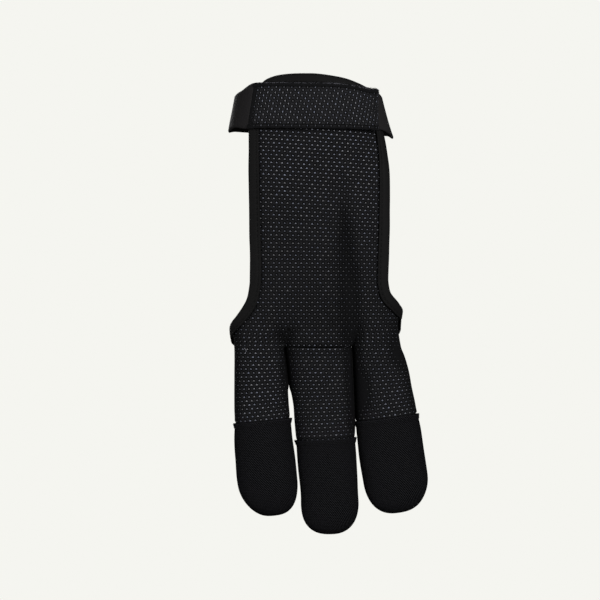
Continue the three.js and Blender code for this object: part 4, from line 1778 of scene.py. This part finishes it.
@dataclass
class FingerBacks:
    """The plain stretch cloth of the finger backs, in one piece."""

    rows: int = 14
    wall: float = 1.1 * MM

    def build(self) -> Object:
        """Builds the finger backs.

        Returns:
            The piece.
        """
        places = spread(SIDE_TRIM * 2, INDEX_TO_MIDDLE, MIDDLE_TO_RING, 1 - SIDE_TRIM * 2)[::-1]
        back = [
            [Spot(HAND.skin(2 - place, lerp(back_height(place), -HAND.palm_drop, t))) for place in places]
            for t in steps(self.rows)
        ]
        for row in back:
            measure_across(row, len(row) // 2, row[len(row) // 2].at.x)
            for spot in row:
                spot.down = -spot.at.z
        root = back[-1]
        legs = [
            leg_patch(finger, start, end, columns_of(root, i))
            for i, (finger, start, end) in enumerate((
                (RING, lambda a: 180 - SIDE_SEAM, lambda a: 180 + inner_seam(a, True)),
                (MIDDLE, lambda a: 180 - inner_seam(a, True), lambda a: 180 + inner_seam(a, True)),
                (INDEX, lambda a: 180 - inner_seam(a, True), lambda a: 180 + SIDE_SEAM),
            ))
        ]
        for leg in legs:
            for row in leg:
                for spot in row:
                    spot.show = 1.0
        bm = bmesh.new()
        for patch in (back, *legs):
            lay_patch(bm, patch)
        weld(bm)
        ripple_cloth(bm)
        piece = Piece("finger_back_cloth", "stretch", ("finger_backs",), self.wall)
        made = piece.finish(bm, WARDROBE.stretch)
        return made


@dataclass
class Gusset:
    """The strip between two fingers: down one, over the web and down the other."""

    first: Finger
    second: Finger
    rows: int = 36
    columns: int = 10
    wall: float = 1.0 * MM
    mesh_wall: float = 1.3 * MM
    web_start: float = 0.7 * MM
    web_rise: float = 0.4 * MM
    tuck: float = 6 * MM
    overlap: float = 0.05 * MM  # pressed cloths squeeze into each other this far
    pressed_gap: tuple[float, float] = (0.7 * MM, 1.15 * MM)  # gaps at which they lie together and part
    parted: float = 0.15 * MM  # how far in the strip lies where the fingers part
    finger_round: float = 0.3  # radius of a finger at the web, of the hand's depth
    web_reach: float = 4 * MM  # how far down the palm's wall holds the strip off

    def pressed(self, along: float) -> tuple[float, float]:
        """Whether the two fingers lie together, 1 where they do, and how far each bulges to touch.

        Args:
            along: metres from the fingers' roots.

        Returns:
            The share and the distance.
        """
        first, second = (f.rows.read(along / f.reach, 1) for f in (self.first, self.second))
        halves = sum(f.rows.read(along / f.reach, 2) for f in (self.first, self.second))
        gap = (second - first - halves) * HAND.breadth
        return 1 - smooth(*self.pressed_gap, gap), gap / 2 + self.overlap

    def strip(self, finger: Finger, along: float, sign: float) -> list[Spot]:
        """A row of the strip across one finger's inner side.

        Args:
            finger: the finger.
            along: metres from the finger's root.
            sign: 1 for its little side, -1 for its thumb side.

        Returns:
            The row.
        """
        web_trim = math.degrees(self.mesh_wall / (self.finger_round * HAND.depth))
        trim = HALF_SEAM + web_trim * (1 - smooth(0, self.web_reach, along - self.web_start))
        start = HAND.seam_at(along) + trim
        end = 180 - HAND.seam_at(along, True) - trim
        near, bulge = self.pressed(along)
        inset = HAND.tube_inset(finger, along)
        row = []
        for t in steps(self.columns):
            out = lerp(-self.parted, bulge, near * math.sin(math.pi * t) ** 0.5) - inset
            row.append(Spot(HAND.finger_point(finger, sign * lerp(end, start, t), along, out)))
        return row

    def build(self) -> Object:
        """Builds the gusset.

        Returns:
            The piece.
        """
        end_first, end_second = (HAND.hem(f) + self.tuck for f in (self.first, self.second))
        up = [self.strip(self.first, lerp(end_first, self.web_start, t), 1) for t in steps(self.rows)]
        down = [self.strip(self.second, lerp(self.web_start, end_second, t), -1) for t in steps(self.rows)]
        web = []
        for t in steps(6)[1:-1]:
            row = []
            for a, b in zip(up[-1], down[0]):
                at = a.at.lerp(b.at, t)
                at.z += self.web_rise * math.sin(math.pi * t)
                row.append(Spot(at))
            web.append(row)
        patch = measure([*up, *web, *down])
        bm = bmesh.new()
        lay_patch(bm, patch)
        name = f"{self.first.name}_{self.second.name}_gusset"
        made = Piece(f"{name}_cloth", "stretch", (name,), self.wall).finish(bm, WARDROBE.stretch)
        return made


@dataclass
class Fingertip:
    """A thimble of woven cloth with a turned hem."""

    finger: Finger
    tip_round: float = 15 * MM
    hem_extra: float = 0.24 * MM
    hem_height: float = 2.6 * MM
    hem_roll: float = 0.5 * MM
    ear: float = 0.6 * MM  # the hem stands out at the side seams
    ear_turn: float = 13.0
    ear_reach: float = 2.4 * MM
    seam_depth: float = 0.12 * MM
    seam_turn: float = 2.2
    ragged: float = 0.25 * MM  # how unevenly the cut edge runs
    ragged_reach: float = 3 * MM
    worn: float = 0.4  # how much more the cut edge is worn
    full_row: int = 12  # the first row that lies clear of the hem
    wall: float = 1.05 * MM
    columns: int = 96
    tip_rows: int = 22

    def spot(self, turn: float, along: float, tip: float) -> Spot:
        """A point of the cap.

        Args:
            turn: degrees round the finger.
            along: distance below the hem.
            tip: how far round the fingertip.

        Returns:
            The spot, stronger in finish along the worn hem.
        """
        out = self.hem_extra * (1 - smooth(self.hem_height - 0.5 * MM, self.hem_height, along))
        out -= ellipse_roll(along, self.hem_roll)
        aside = min(abs((turn % 360) - 90), abs((turn % 360) - 270))
        out += self.ear * math.exp(-((aside / self.ear_turn) ** 2)) * (1 - smooth(0, self.ear_reach, along))
        seam = self.seam_depth * math.exp(-((aside / self.seam_turn) ** 2)) * smooth(0, 6 * MM, along)
        at = HAND.finger_point(self.finger, turn, HAND.hem(self.finger) + along, out - seam, tip)
        uneven = self.ragged * noise.noise(Vector((turn / 25, self.finger.reach * 900, 0)))
        at.z += uneven * (1 - smooth(0, self.ragged_reach, along))
        return Spot(at, show=1 + self.worn * (1 - smooth(0.2 * MM, 0.9 * MM, along)))

    def build(self) -> Object:
        """Builds the cap and its hem stitches.

        Returns:
            The cap.
        """
        straight = HAND.cap_length - self.tip_round
        hem = [mm * MM for mm in (0, 0.12, 0.3, 0.5, 0.9, 1.4, 2.0, 2.2, 2.5, 2.8)]
        body = [lerp(3.4 * MM, straight, t) for t in steps(28)]
        tips = [1 - (1 - t) ** 1.35 for t in steps(self.tip_rows)][1:]
        rows = [(along, 0.0) for along in (*hem, *body)]
        rows += [(straight + self.tip_round * math.sin(tip * math.pi / 2), tip) for tip in tips]
        turns = [t * 360 - 180 for t in steps(self.columns)]
        patch = measure([[self.spot(turn, along, tip) for turn in turns] for along, tip in rows])
        self.ease_weave(patch)
        bm = bmesh.new()
        lay_patch(bm, patch)
        weld(bm)
        ripple_cloth(bm)
        name = f"{self.finger.name}_cap"
        made = Piece(f"{name}_cloth", "tip_weave", (name,), self.wall).finish(bm, WARDROBE.tips)
        pieces = [self.sew(name), self.fray(name)]
        return made

    def ease_weave(self, patch: Patch) -> None:
        """Keeps the weave even over the closing tip, by the width that each column has at the hem.

        Args:
            patch: the cap's spots.
        """
        wide = [spot.across for spot in patch[self.full_row]]
        for row in patch[self.full_row:]:
            for i, spot in enumerate(row):
                spot.across = wide[i] if spot.show >= 1 else spot.across

    def fray(self, name: str) -> Object:
        """The fibres that stand out of the cap's cut edge.

        Args:
            name: the cap's name.

        Returns:
            The fibres.
        """

        def edge(share: float) -> tuple[Vector, Vector]:
            """A point of the hem, with the way up out of it.

            Args:
                share: how far round.

            Returns:
                The point and the way.
            """
            at = self.spot(360 * share, 0.15 * MM, 0).at
            middle = HAND.finger_point(self.finger, 0, HAND.hem(self.finger), 0, 1)
            aside = Vector((at.x - middle.x, at.y - middle.y, 0)).normalized()
            return at, Vector((0, 0, 0.8)) + aside * 0.5

        fluff = Fluff(150, (0.2 * MM, 0.55 * MM), 0.045 * MM)
        return fluff.grow(f"{name}_fluff", "tip_weave", edge, WARDROBE.lining)

    def sew(self, name: str) -> Object:
        """The stitches that hold the cap's hem.

        Args:
            name: the cap's name.

        Returns:
            The stitches.
        """

        def surface(turn: float, along: float) -> Vector:
            """The finger's own surface."""
            return HAND.finger_point(self.finger, turn, along)

        below = self.hem_height - 0.75 * MM
        line = []
        for t in steps(180):
            turn = t * 360 - 180
            out = outward(surface, turn, HAND.hem(self.finger) + below, 1, 0.3 * MM)
            line.append((self.spot(turn, below, 0).at, out))
        bm = bmesh.new()
        Thread(length=1.3 * MM, gap=0.8 * MM, radius=0.13 * MM, proud=0.02 * MM).sew(bm, line)
        return Piece(f"{name}_stitches", "tip_weave").finish(bm, WARDROBE.thread)


@dataclass
class Binding:
    """Binding tape folded over an edge of the cloth, with its row of stitches."""

    name: str
    stops: Sequence[Stop]
    cloth_wall: float = 1.3 * MM
    width: float = 4.2 * MM
    gap: float = 0.45 * MM
    wall: float = 0.8 * MM
    crown: float = 0.22 * MM
    roll: float = 0.35 * MM
    stitch_inset: float = 1.15 * MM
    seam_depth: float = 0.3 * MM  # how far the stitches draw the tape in
    seam_width: float = 0.4 * MM
    pucker: float = 0.05 * MM  # height of the waves between the stitches
    pucker_pitch: float = 2.45 * MM
    leg_cells: int = 14
    nose_cells: int = 8

    def step_on_cloth(self, stop: Stop, step: Vector) -> Stop:
        """The stop that lies a short way from another, given as a step in space.

        Args:
            stop: the first stop.
            step: the way, in metres.

        Returns:
            The second stop.
        """
        dp, dz = 0.004, 0.4 * MM
        by_place = (HAND.skin(stop.place + dp, stop.z) - HAND.skin(stop.place - dp, stop.z)) / (2 * dp)
        by_height = (HAND.skin(stop.place, stop.z + dz) - HAND.skin(stop.place, stop.z - dz)) / (2 * dz)
        a, b, c = by_place.dot(by_place), by_place.dot(by_height), by_height.dot(by_height)
        p, q = by_place.dot(step), by_height.dot(step)
        scale = a * c - b * b
        return Stop(stop.place + (c * p - b * q) / scale, stop.z + (a * q - b * p) / scale)

    def build(self) -> Object:
        """Builds the tape and its stitches. The cloth lies to the right of the stops' way.

        Returns:
            The tape.
        """
        stand = self.gap + self.wall
        edges = [(HAND.skin(s.place, s.z), HAND.skin_out(s.place, s.z)) for s in self.stops]
        last = len(edges) - 1
        patch, front, behind = [], [], []
        walked = 0.0
        for i, (at, out) in enumerate(edges):
            way = edges[min(last, i + 1)][0] - edges[max(0, i - 1)][0]
            if i:
                walked += (at - edges[i - 1][0]).length
            inward = -out.cross(way).normalized()
            wave = math.sin(walked / self.pucker_pitch * 2 * math.pi)
            over, under = [], []
            for share in steps(self.leg_cells)[::-1]:
                stop = self.step_on_cloth(self.stops[i], inward * self.width * share)
                on, direction = HAND.skin(stop.place, stop.z), HAND.skin_out(stop.place, stop.z)
                from_rim = (1 - share) * self.width
                from_seam = from_rim - self.stitch_inset
                swell = self.crown * math.sin(math.pi * (1 - share) * 0.9) ** 0.8
                pucker = self.pucker * wave * smooth(0.4, 0.9, share)
                fall = ellipse_roll(from_rim, self.roll)
                seam = self.seam_depth * math.exp(-((from_seam / self.seam_width) ** 2))
                lift = stand + swell + pucker - fall - seam
                over.append(Spot(on + direction * lift))
                under.append(Spot(on - direction * (self.cloth_wall + lift)))
                if abs(from_seam) < self.width / self.leg_cells / 2:
                    front.append((on + direction * lift, direction))
                    behind.append((on - direction * (self.cloth_wall + lift), -direction))
            middle = at - out * (self.cloth_wall / 2)
            radius = stand + self.cloth_wall / 2
            nose = []
            for t in steps(self.nose_cells)[1:-1]:
                up, aside = radius * math.cos(math.pi * t), stand * math.sin(math.pi * t)
                nose.append(Spot(middle + out * up - inward * aside))
            patch.append([*over, *nose, *reversed(under)])
        measure(patch)
        bm = bmesh.new()
        lay_patch(bm, patch)
        ripple_cloth(bm)
        made = Piece(f"{self.name}_tape", "binding", (self.name,), self.wall).finish(bm, WARDROBE.tape)
        sewing = bmesh.new()
        for line in (front, behind):
            Thread().sew(sewing, line)
        stitches = Piece(f"{self.name}_stitches", "binding").finish(sewing, WARDROBE.thread)
        return made


def side_stops(edge: Callable[[float], Stop], count: int = 110, top_corner: float = 0.045) -> list[Stop]:
    """Stops down a bound edge of the palm panel, from below the top tape to the finger's side."""
    return [edge(lerp(top_corner, SIDE_ROW, t)) for t in steps(count)]


def top_stops(count: int = 60, rise: float = PalmPanel.arch_rise) -> list[Stop]:
    """Stops along the arched top edge of the palm panel, from the thumb side.

    Args:
        count: how many steps.
        rise: the arch's height.

    Returns:
        The stops.
    """
    thumb, little = thumb_stop(0), little_stop(0)
    return [
        Stop(lerp(thumb.place, little.place, t), lerp(thumb.z, little.z, t) + rise * arch_at(t))
        for t in steps(count)
    ]


def back_stops(count: int = 80) -> list[Stop]:
    """Stops across the finger backs, from the little side to the thumb side."""
    end = 6.0 * MM / (HAND.breadth * math.pi)
    return [Stop(2 - place, back_height(place)) for place in (lerp(1 - end, end, t) for t in steps(count))]


@dataclass
class WristStrap:
    """The elastic band, the mesh tab over it with turned hems, and the pad between."""

    tab_width: float = 20.8 * MM
    band_width: float = 16.6 * MM
    band_root_width: float = 18.8 * MM
    hem: float = 2.2 * MM
    hem_extra: float = 0.42 * MM
    wall: float = 1.2 * MM
    under: float = 1.6 * MM  # inner side of the strap, from the cloth
    fit_gap: float = 0.35 * MM
    pad_wall: float = 0.8 * MM
    pad_width: float = 12 * MM
    pad_length: float = 17 * MM
    pad_centre: float = -4 * MM
    tab_start: float = -45.0
    tab_end: float = 55.0
    tab_end_lean: float = 6.0
    droop: float = 2.8 * MM
    corner: float = 1.1 * MM  # how far the free end's top corner curls up
    fray_on_top: float = 0.65  # share of the fibres that the top edge has
    yarn_on_top: float = 0.78  # share of the pale yarn ends that the top hem has
    low_row: float = 1.3 * MM  # the row of glints in the lower hem, from its edge
    low_row_width: float = 0.45 * MM
    low_row_show: float = 0.65
    row_shift: float = 0.525 * MM  # brings a row of the lattice there
    band_roll: float = 0.45 * MM
    band_wave: float = 0.12 * MM
    tab_roll: float = 0.6 * MM
    tab_wave: float = 0.25 * MM
    crease: float = 0.22 * MM  # depth of the groove beside the hems
    crease_width: float = 0.4 * MM
    lip: float = 0.3 * MM  # how far the free end's turned edge stands out
    lip_reach: tuple[float, float] = (1.6 * MM, 2.4 * MM)
    end_roll: float = 0.5 * MM
    ragged: float = 0.35 * MM  # how unevenly the hems' edges run
    band_start: float = 40.0
    widening: float = 22.0  # degrees over which the band widens to the tab
    rows: int = 26

    @property
    def outer(self) -> float:
        """The band's outer side, from the cloth."""
        return self.under + self.wall

    def band(self) -> Object:
        """The elastic band, from its sewn end under the tab round the back to the tab's root.

        Returns:
            The band.
        """
        end = 360 + self.tab_start
        patch: Patch = [[] for _ in steps(self.rows)]
        for t in steps(220):
            turn = lerp(self.band_start, end, t)
            root = lerp(self.band_root_width, self.band_width, smooth(100, 160, turn))
            half = lerp(root, self.tab_width, smooth(end - self.widening, end, turn)) / 2
            for j, s in enumerate(steps(self.rows)):
                height = lerp(half, -half, s)
                roll = ellipse_roll(half - abs(height), self.band_roll)
                wave = self.band_wave * noise.noise(Vector((turn / 9, height * 120, 3.0)))
                patch[j].append(Spot(HAND.strap_point(turn, height, self.outer - roll + wave)))
        measure(patch)
        bm = bmesh.new()
        lay_patch(bm, patch)
        made = Piece("wrist_band", "elastic", ("strap_band",), self.wall).finish(bm, WARDROBE.elastic)
        return made

    def end_turn(self, height: float) -> float:
        """Where the tab's free end is at a height, in degrees round the wrist."""
        return self.tab_end + self.tab_end_lean * height / (self.tab_width / 2)

    def tab_out(self, turn: float, height: float) -> float:
        """The tab's outer side, from the cloth, with its hems and rolled edges.

        Args:
            turn: degrees from the front over the little side.
            height: metres up from the strap's middle line.

        Returns:
            The distance.
        """
        climb = (self.wall + self.fit_gap) * smooth(self.band_start - 24, self.band_start - 4, turn)
        edge = self.tab_width / 2 - abs(height)
        hem = self.hem_extra * (1 - smooth(self.hem - 0.3 * MM, self.hem + 0.3 * MM, edge))
        crease = self.crease * math.exp(-(((edge - self.hem) / self.crease_width) ** 2))
        wave = self.tab_wave * noise.noise(Vector((turn / 7, height * 60, 7.0)))
        end = self.end_distance(turn, height)
        lip = self.lip * (1 - smooth(*self.lip_reach, end)) - ellipse_roll(end, self.end_roll)
        return self.outer + climb + hem + wave + lip - crease - ellipse_roll(edge, self.tab_roll)

    def tab_point(self, turn: float, height: float, lifted: float = 0.0) -> Vector:
        """A point of the tab's outer side. Its top edge sinks towards the free end.

        Args:
            turn: degrees from the front over the little side.
            height: metres up from the strap's middle line, before it sinks.
            lifted: how much higher the point is, as on a ragged edge.

        Returns:
            The point.
        """
        inner = self.tab_width / 2 - self.hem
        share = min(1.0, max(0.0, (height / inner + 1) / 2))
        curled = self.corner * smooth(46, 58, turn) * share**3
        sunk = self.droop * smooth(10, 70, turn) * share - curled
        return HAND.strap_point(turn, height - sunk + lifted, self.tab_out(turn, height) + 0.4 * curled)

    def end_distance(self, turn: float, height: float) -> float:
        """About how far a turn lies from the tab's free end, in metres."""
        return math.radians(self.end_turn(height) - turn) * 30 * MM

    def tab(self) -> Object:
        """The mesh tab with its glints and stitches.

        Returns:
            The tab.
        """
        half = self.tab_width / 2
        near_edge = [mm * MM for mm in (0, 0.1, 0.25, 0.45, 0.7, 1.1, 1.5, 1.9, 2.2, 2.5)]
        inner = [lerp(-half + 3 * MM, half - 3 * MM, s) for s in steps(16)]
        heights = [*(-half + e for e in near_edge), *inner, *(half - e for e in reversed(near_edge))][::-1]
        patch: Patch = [[] for _ in heights]
        for share in (1 - (1 - t) ** 1.25 for t in steps(150)):
            for j, height in enumerate(heights):
                turn = lerp(self.tab_start, self.end_turn(height), share)
                top = 1 - smooth(0.3 * MM, 1.2 * MM, half - abs(height))
                ragged = self.ragged * noise.noise(Vector((turn / 3.5, math.copysign(5.0, height), 0)))
                at = self.tab_point(turn, height, ragged * top)
                # Glint strength, which also sets painted shade on the ground: it fades in at the tab's start
                # and weakens towards the free end where the tab turns away; the plain hems keep it low, but
                # for one row in the lower hem.
                fade = smooth(self.tab_start + 1, self.tab_start + 9, turn)
                in_hem = smooth(self.hem - 0.6 * MM, self.hem + 0.7 * MM, half - abs(height))
                from_row = half + height - self.low_row
                in_low_hem = self.low_row_show * math.exp(-((from_row / self.low_row_width) ** 2))
                show = fade * max(lerp(0.05, 1.15, in_hem), in_low_hem) * (1 - 0.45 * smooth(35, 55, turn))
                patch[j].append(Spot(at, down=-height - self.row_shift, show=show))
        for row in patch:
            measure_across(row, len(row) // 2, 0.0)
        bm = bmesh.new()
        lay_patch(bm, patch)
        made = Piece("strap_tab_mesh", "mesh", ("strap_tab",), self.wall).finish(
            bm, WARDROBE.strap_mesh, WARDROBE.lining
        )
        lugs = GlintField(sideways=True, slant=-0.1, wide=0.42 * MM, tall=0.82 * MM)
        glints = lugs.build("strap_glints", [[row[2:-3] for row in patch[5:-4]]], WARDROBE.glints)
        stitches = self.sew_tab()
        self.edge_yarn()
        self.fray()
        return made

    def fray(self) -> Object:
        """The pale fibres along the tab's top edge, most of them near its free end, and down that end.

        Returns:
            The fibres.
        """

        def edge(share: float) -> tuple[Vector, Vector]:
            """A point of the top edge or, past its share, of the free end, with the way out of it.

            Args:
                share: how far along.

            Returns:
                The point and the way.
            """
            height = self.tab_width / 2
            if share > self.fray_on_top:
                height = lerp(height, 1 * MM - height, (share - self.fray_on_top) / (1 - self.fray_on_top))
                return self.tab_point(self.end_turn(height) - 1.5, height), Vector((0.3, -0.8, 0))
            turn = lerp(self.tab_start + 12, self.end_turn(height), (share / self.fray_on_top) ** 0.7)
            return self.tab_point(turn, height), Vector((0, -0.5, 0.8))

        return Fluff(240, (0.3 * MM, 1.0 * MM)).grow("strap_tab_fluff", "mesh", edge, WARDROBE.fluff)

    def on_tab(self, turn: float, height: float) -> tuple[Vector, Vector]:
        """A point of the tab with its outward direction.

        Args:
            turn: degrees from the front over the little side.
            height: metres up from the strap's middle line.

        Returns:
            The point and the direction.
        """

        def surface(a: float, b: float) -> Vector:
            """The tab's outer side, walked to the right and down."""
            return self.tab_point(a, -b)

        return surface(turn, -height), outward(surface, turn, -height, 1, 0.2 * MM)

    def edge_yarn(self) -> Object:
        """The paler yarn ends that lie along the tab's top hem and down its free end.

        Returns:
            The yarn ends.
        """
        reach = self.tab_width / 2 - 0.45 * MM

        def edge(share: float) -> tuple[Vector, Vector]:
            """A point of the hem or, past its share, of the free end, with the way along it.

            Args:
                share: how far along.

            Returns:
                The point and the way.
            """
            if share > self.yarn_on_top:
                height = lerp(reach, -reach, (share - self.yarn_on_top) / (1 - self.yarn_on_top))
                return self.on_tab(self.end_turn(height) - 1.5, height)[0], Vector((0, 0, -1))
            turn = lerp(self.tab_start + 6, self.end_turn(reach) - 1.5, share / self.yarn_on_top)
            at = self.on_tab(turn, reach)[0]
            return at, (self.on_tab(turn + 1, reach)[0] - at).normalized()

        yarn = Fluff(120, (0.6 * MM, 1.8 * MM), 0.075 * MM, mess=0.22)
        return yarn.grow("strap_tab_edge_yarn", "mesh", edge, WARDROBE.pale_thread)

    def sew_tab(self) -> Object:
        """The stitches along the tab's hems and across its free end.

        Returns:
            The stitches.
        """
        bm = bmesh.new()
        inset = self.hem - 0.45 * MM
        for side in (-1, 1):
            height = side * (self.tab_width / 2 - inset)
            turns = [lerp(self.tab_start + 1, self.end_turn(height) - 4, t) for t in steps(120)]
            Thread().sew(bm, [self.on_tab(turn, height) for turn in turns])
        reach = self.tab_width / 2 - inset
        heights = [lerp(reach, -reach, t) for t in steps(30)]
        ends = [self.on_tab(self.end_turn(height) - 4.2, height) for height in heights]
        Thread().sew(bm, ends)
        return Piece("strap_tab_stitches", "mesh").finish(bm, WARDROBE.thread)

    def pad(self) -> Object:
        """The hook-and-loop pad between the tab and the palm panel.

        Returns:
            The pad.
        """
        half = HAND.palm_section(0)[1]
        patch: Patch = []
        for s in steps(14):
            row = []
            for t in steps(30):
                share = (self.pad_centre + self.pad_length * (t - 0.5)) / half
                turn = math.degrees(math.asin(signed_power(share, HAND.square / 2)))
                height = lerp(0.5, -0.5, s) * self.pad_width
                row.append(Spot(HAND.strap_point(turn, height, self.fit_gap + self.pad_wall)))
            patch.append(row)
        measure(patch)
        bm = bmesh.new()
        lay_patch(bm, patch)
        piece = Piece("hook_and_loop_pad", "closure", ("closure_pad",), self.pad_wall)
        made = piece.finish(bm, WARDROBE.hooks)
        return made

    def build(self) -> list[Object]:
        """Builds the whole strap."""
        return [self.band(), self.tab(), self.pad()]


# The photograph's room


@dataclass
class Studio:
    """A pale floor, soft light and the camera."""

    lens: float = 150.0
    sensor: float = 36.0
    picture: int = 600
    scale: float = 0.45 * MM  # metres for each pixel, at the plane of the glove
    plane: float = -8 * MM
    aim: tuple[float, float] = (-5.4 * MM, -86.4 * MM)
    backdrop: Rgb = (0.913, 0.913, 0.871)
    floor_drop: float = -0.32
    floor_radius: float = 6.0
    ambient: float = 0.24  # share of the room's light that reaches the glove

    def camera(self) -> None:
        """Places the camera level, facing the palm side."""
        data = bpy.data.cameras.new("camera")
        data.lens = self.lens
        data.sensor_width = self.sensor
        data.clip_end = 50
        made = bpy.data.objects.new("camera", data)
        away = self.picture * self.scale * self.lens / self.sensor
        made.location = (self.aim[0], self.plane - away, self.aim[1])
        made.rotation_euler = (math.radians(90), 0, 0)
        bpy.context.scene.collection.objects.link(made)
        bpy.context.scene.camera = made

    def light(self, name: str, place: Rgb, size: float, power: float) -> None:
        """A soft square light that faces the glove.

        Args:
            name: its name.
            place: where it is.
            size: its side.
            power: watts.
        """
        data = bpy.data.lights.new(name, "AREA")
        data.size = size
        data.energy = power
        made = bpy.data.objects.new(name, data)
        made.location = place
        aim = Vector((0, 0, -0.09)) - Vector(place)
        made.rotation_euler = aim.to_track_quat("-Z", "Y").to_euler()
        made.visible_camera = False
        bpy.context.scene.collection.objects.link(made)

    def dim_for_glove(self, tree: NodeTree, strength: NodeSocket) -> None:
        """Shows a light at full strength and lets the ambient share of it fall on the glove.

        Args:
            tree: the light's nodes.
            strength: its strength socket.
        """
        sketch = NodeSketch(tree)
        seen = sketch.add("ShaderNodeLightPath").outputs["Is Camera Ray"]
        sketch.feed(sketch.math("MULTIPLY_ADD", seen, 1 - self.ambient, self.ambient), strength)

    def floor(self) -> None:
        """A pale floor that shines as evenly as the room."""
        bm = bmesh.new()
        bmesh.ops.create_circle(bm, cap_ends=True, segments=96, radius=self.floor_radius)
        bmesh.ops.translate(bm, verts=bm.verts[:], vec=(0, 0, self.floor_drop))
        mesh = bpy.data.meshes.new("floor")
        bm.to_mesh(mesh)
        bm.free()
        material = bpy.data.materials.new("pale_floor")
        material.use_nodes = True
        shader = material.node_tree.nodes["Principled BSDF"]
        shader.inputs["Base Color"].default_value = (0.0, 0.0, 0.0, 1)
        shader.inputs["Specular IOR Level"].default_value = 0
        shader.inputs["Roughness"].default_value = 1
        shader.inputs["Emission Color"].default_value = (*self.backdrop, 1)
        self.dim_for_glove(material.node_tree, shader.inputs["Emission Strength"])
        mesh.materials.append(material)
        made = bpy.data.objects.new("floor", mesh)
        bpy.context.scene.collection.objects.link(made)
        made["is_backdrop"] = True

    def build(self) -> None:
        """Builds the room."""
        scene = bpy.context.scene
        scene.view_settings.view_transform = "Standard"
        scene.view_settings.look = "None"
        world = bpy.data.worlds.new("room")
        world.use_nodes = True
        world.node_tree.nodes["Background"].inputs[0].default_value = (*self.backdrop, 1)
        self.dim_for_glove(world.node_tree, world.node_tree.nodes["Background"].inputs[1])
        scene.world = world
        self.camera()
        self.floor()
        self.light("key", place=(0.55, -1.0, 0.12), size=0.5, power=20)
        self.light("fill", place=(-0.95, -0.6, 0.05), size=0.8, power=10)
        self.light("back", place=(-0.2, 1.1, 0.4), size=0.9, power=26)


def main() -> None:
    """Builds the glove in its room."""
    logging.basicConfig(level=logging.INFO, format="%(message)s")
    Studio().build()
    PalmPanel().build()
    MiddleFront().build()
    FingerBacks().build()
    for first, second in ((INDEX, MIDDLE), (MIDDLE, RING)):
        Gusset(first, second).build()
    for finger in (INDEX, MIDDLE, RING):
        Fingertip(finger).build()
    Binding("thumb_edge_binding", side_stops(thumb_stop)[::-1]).build()
    Binding("little_edge_binding", side_stops(little_stop)).build()
    Binding("top_edge_binding", top_stops()).build()
    Binding("back_edge_binding", back_stops(), cloth_wall=FingerBacks.wall).build()
    WristStrap().build()
    boxes = {
        name: [list(corner) for corner in box] for name, box in (("cad", cad_box), ("visual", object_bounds()))
    }


if __name__ == "__main__":
    main()
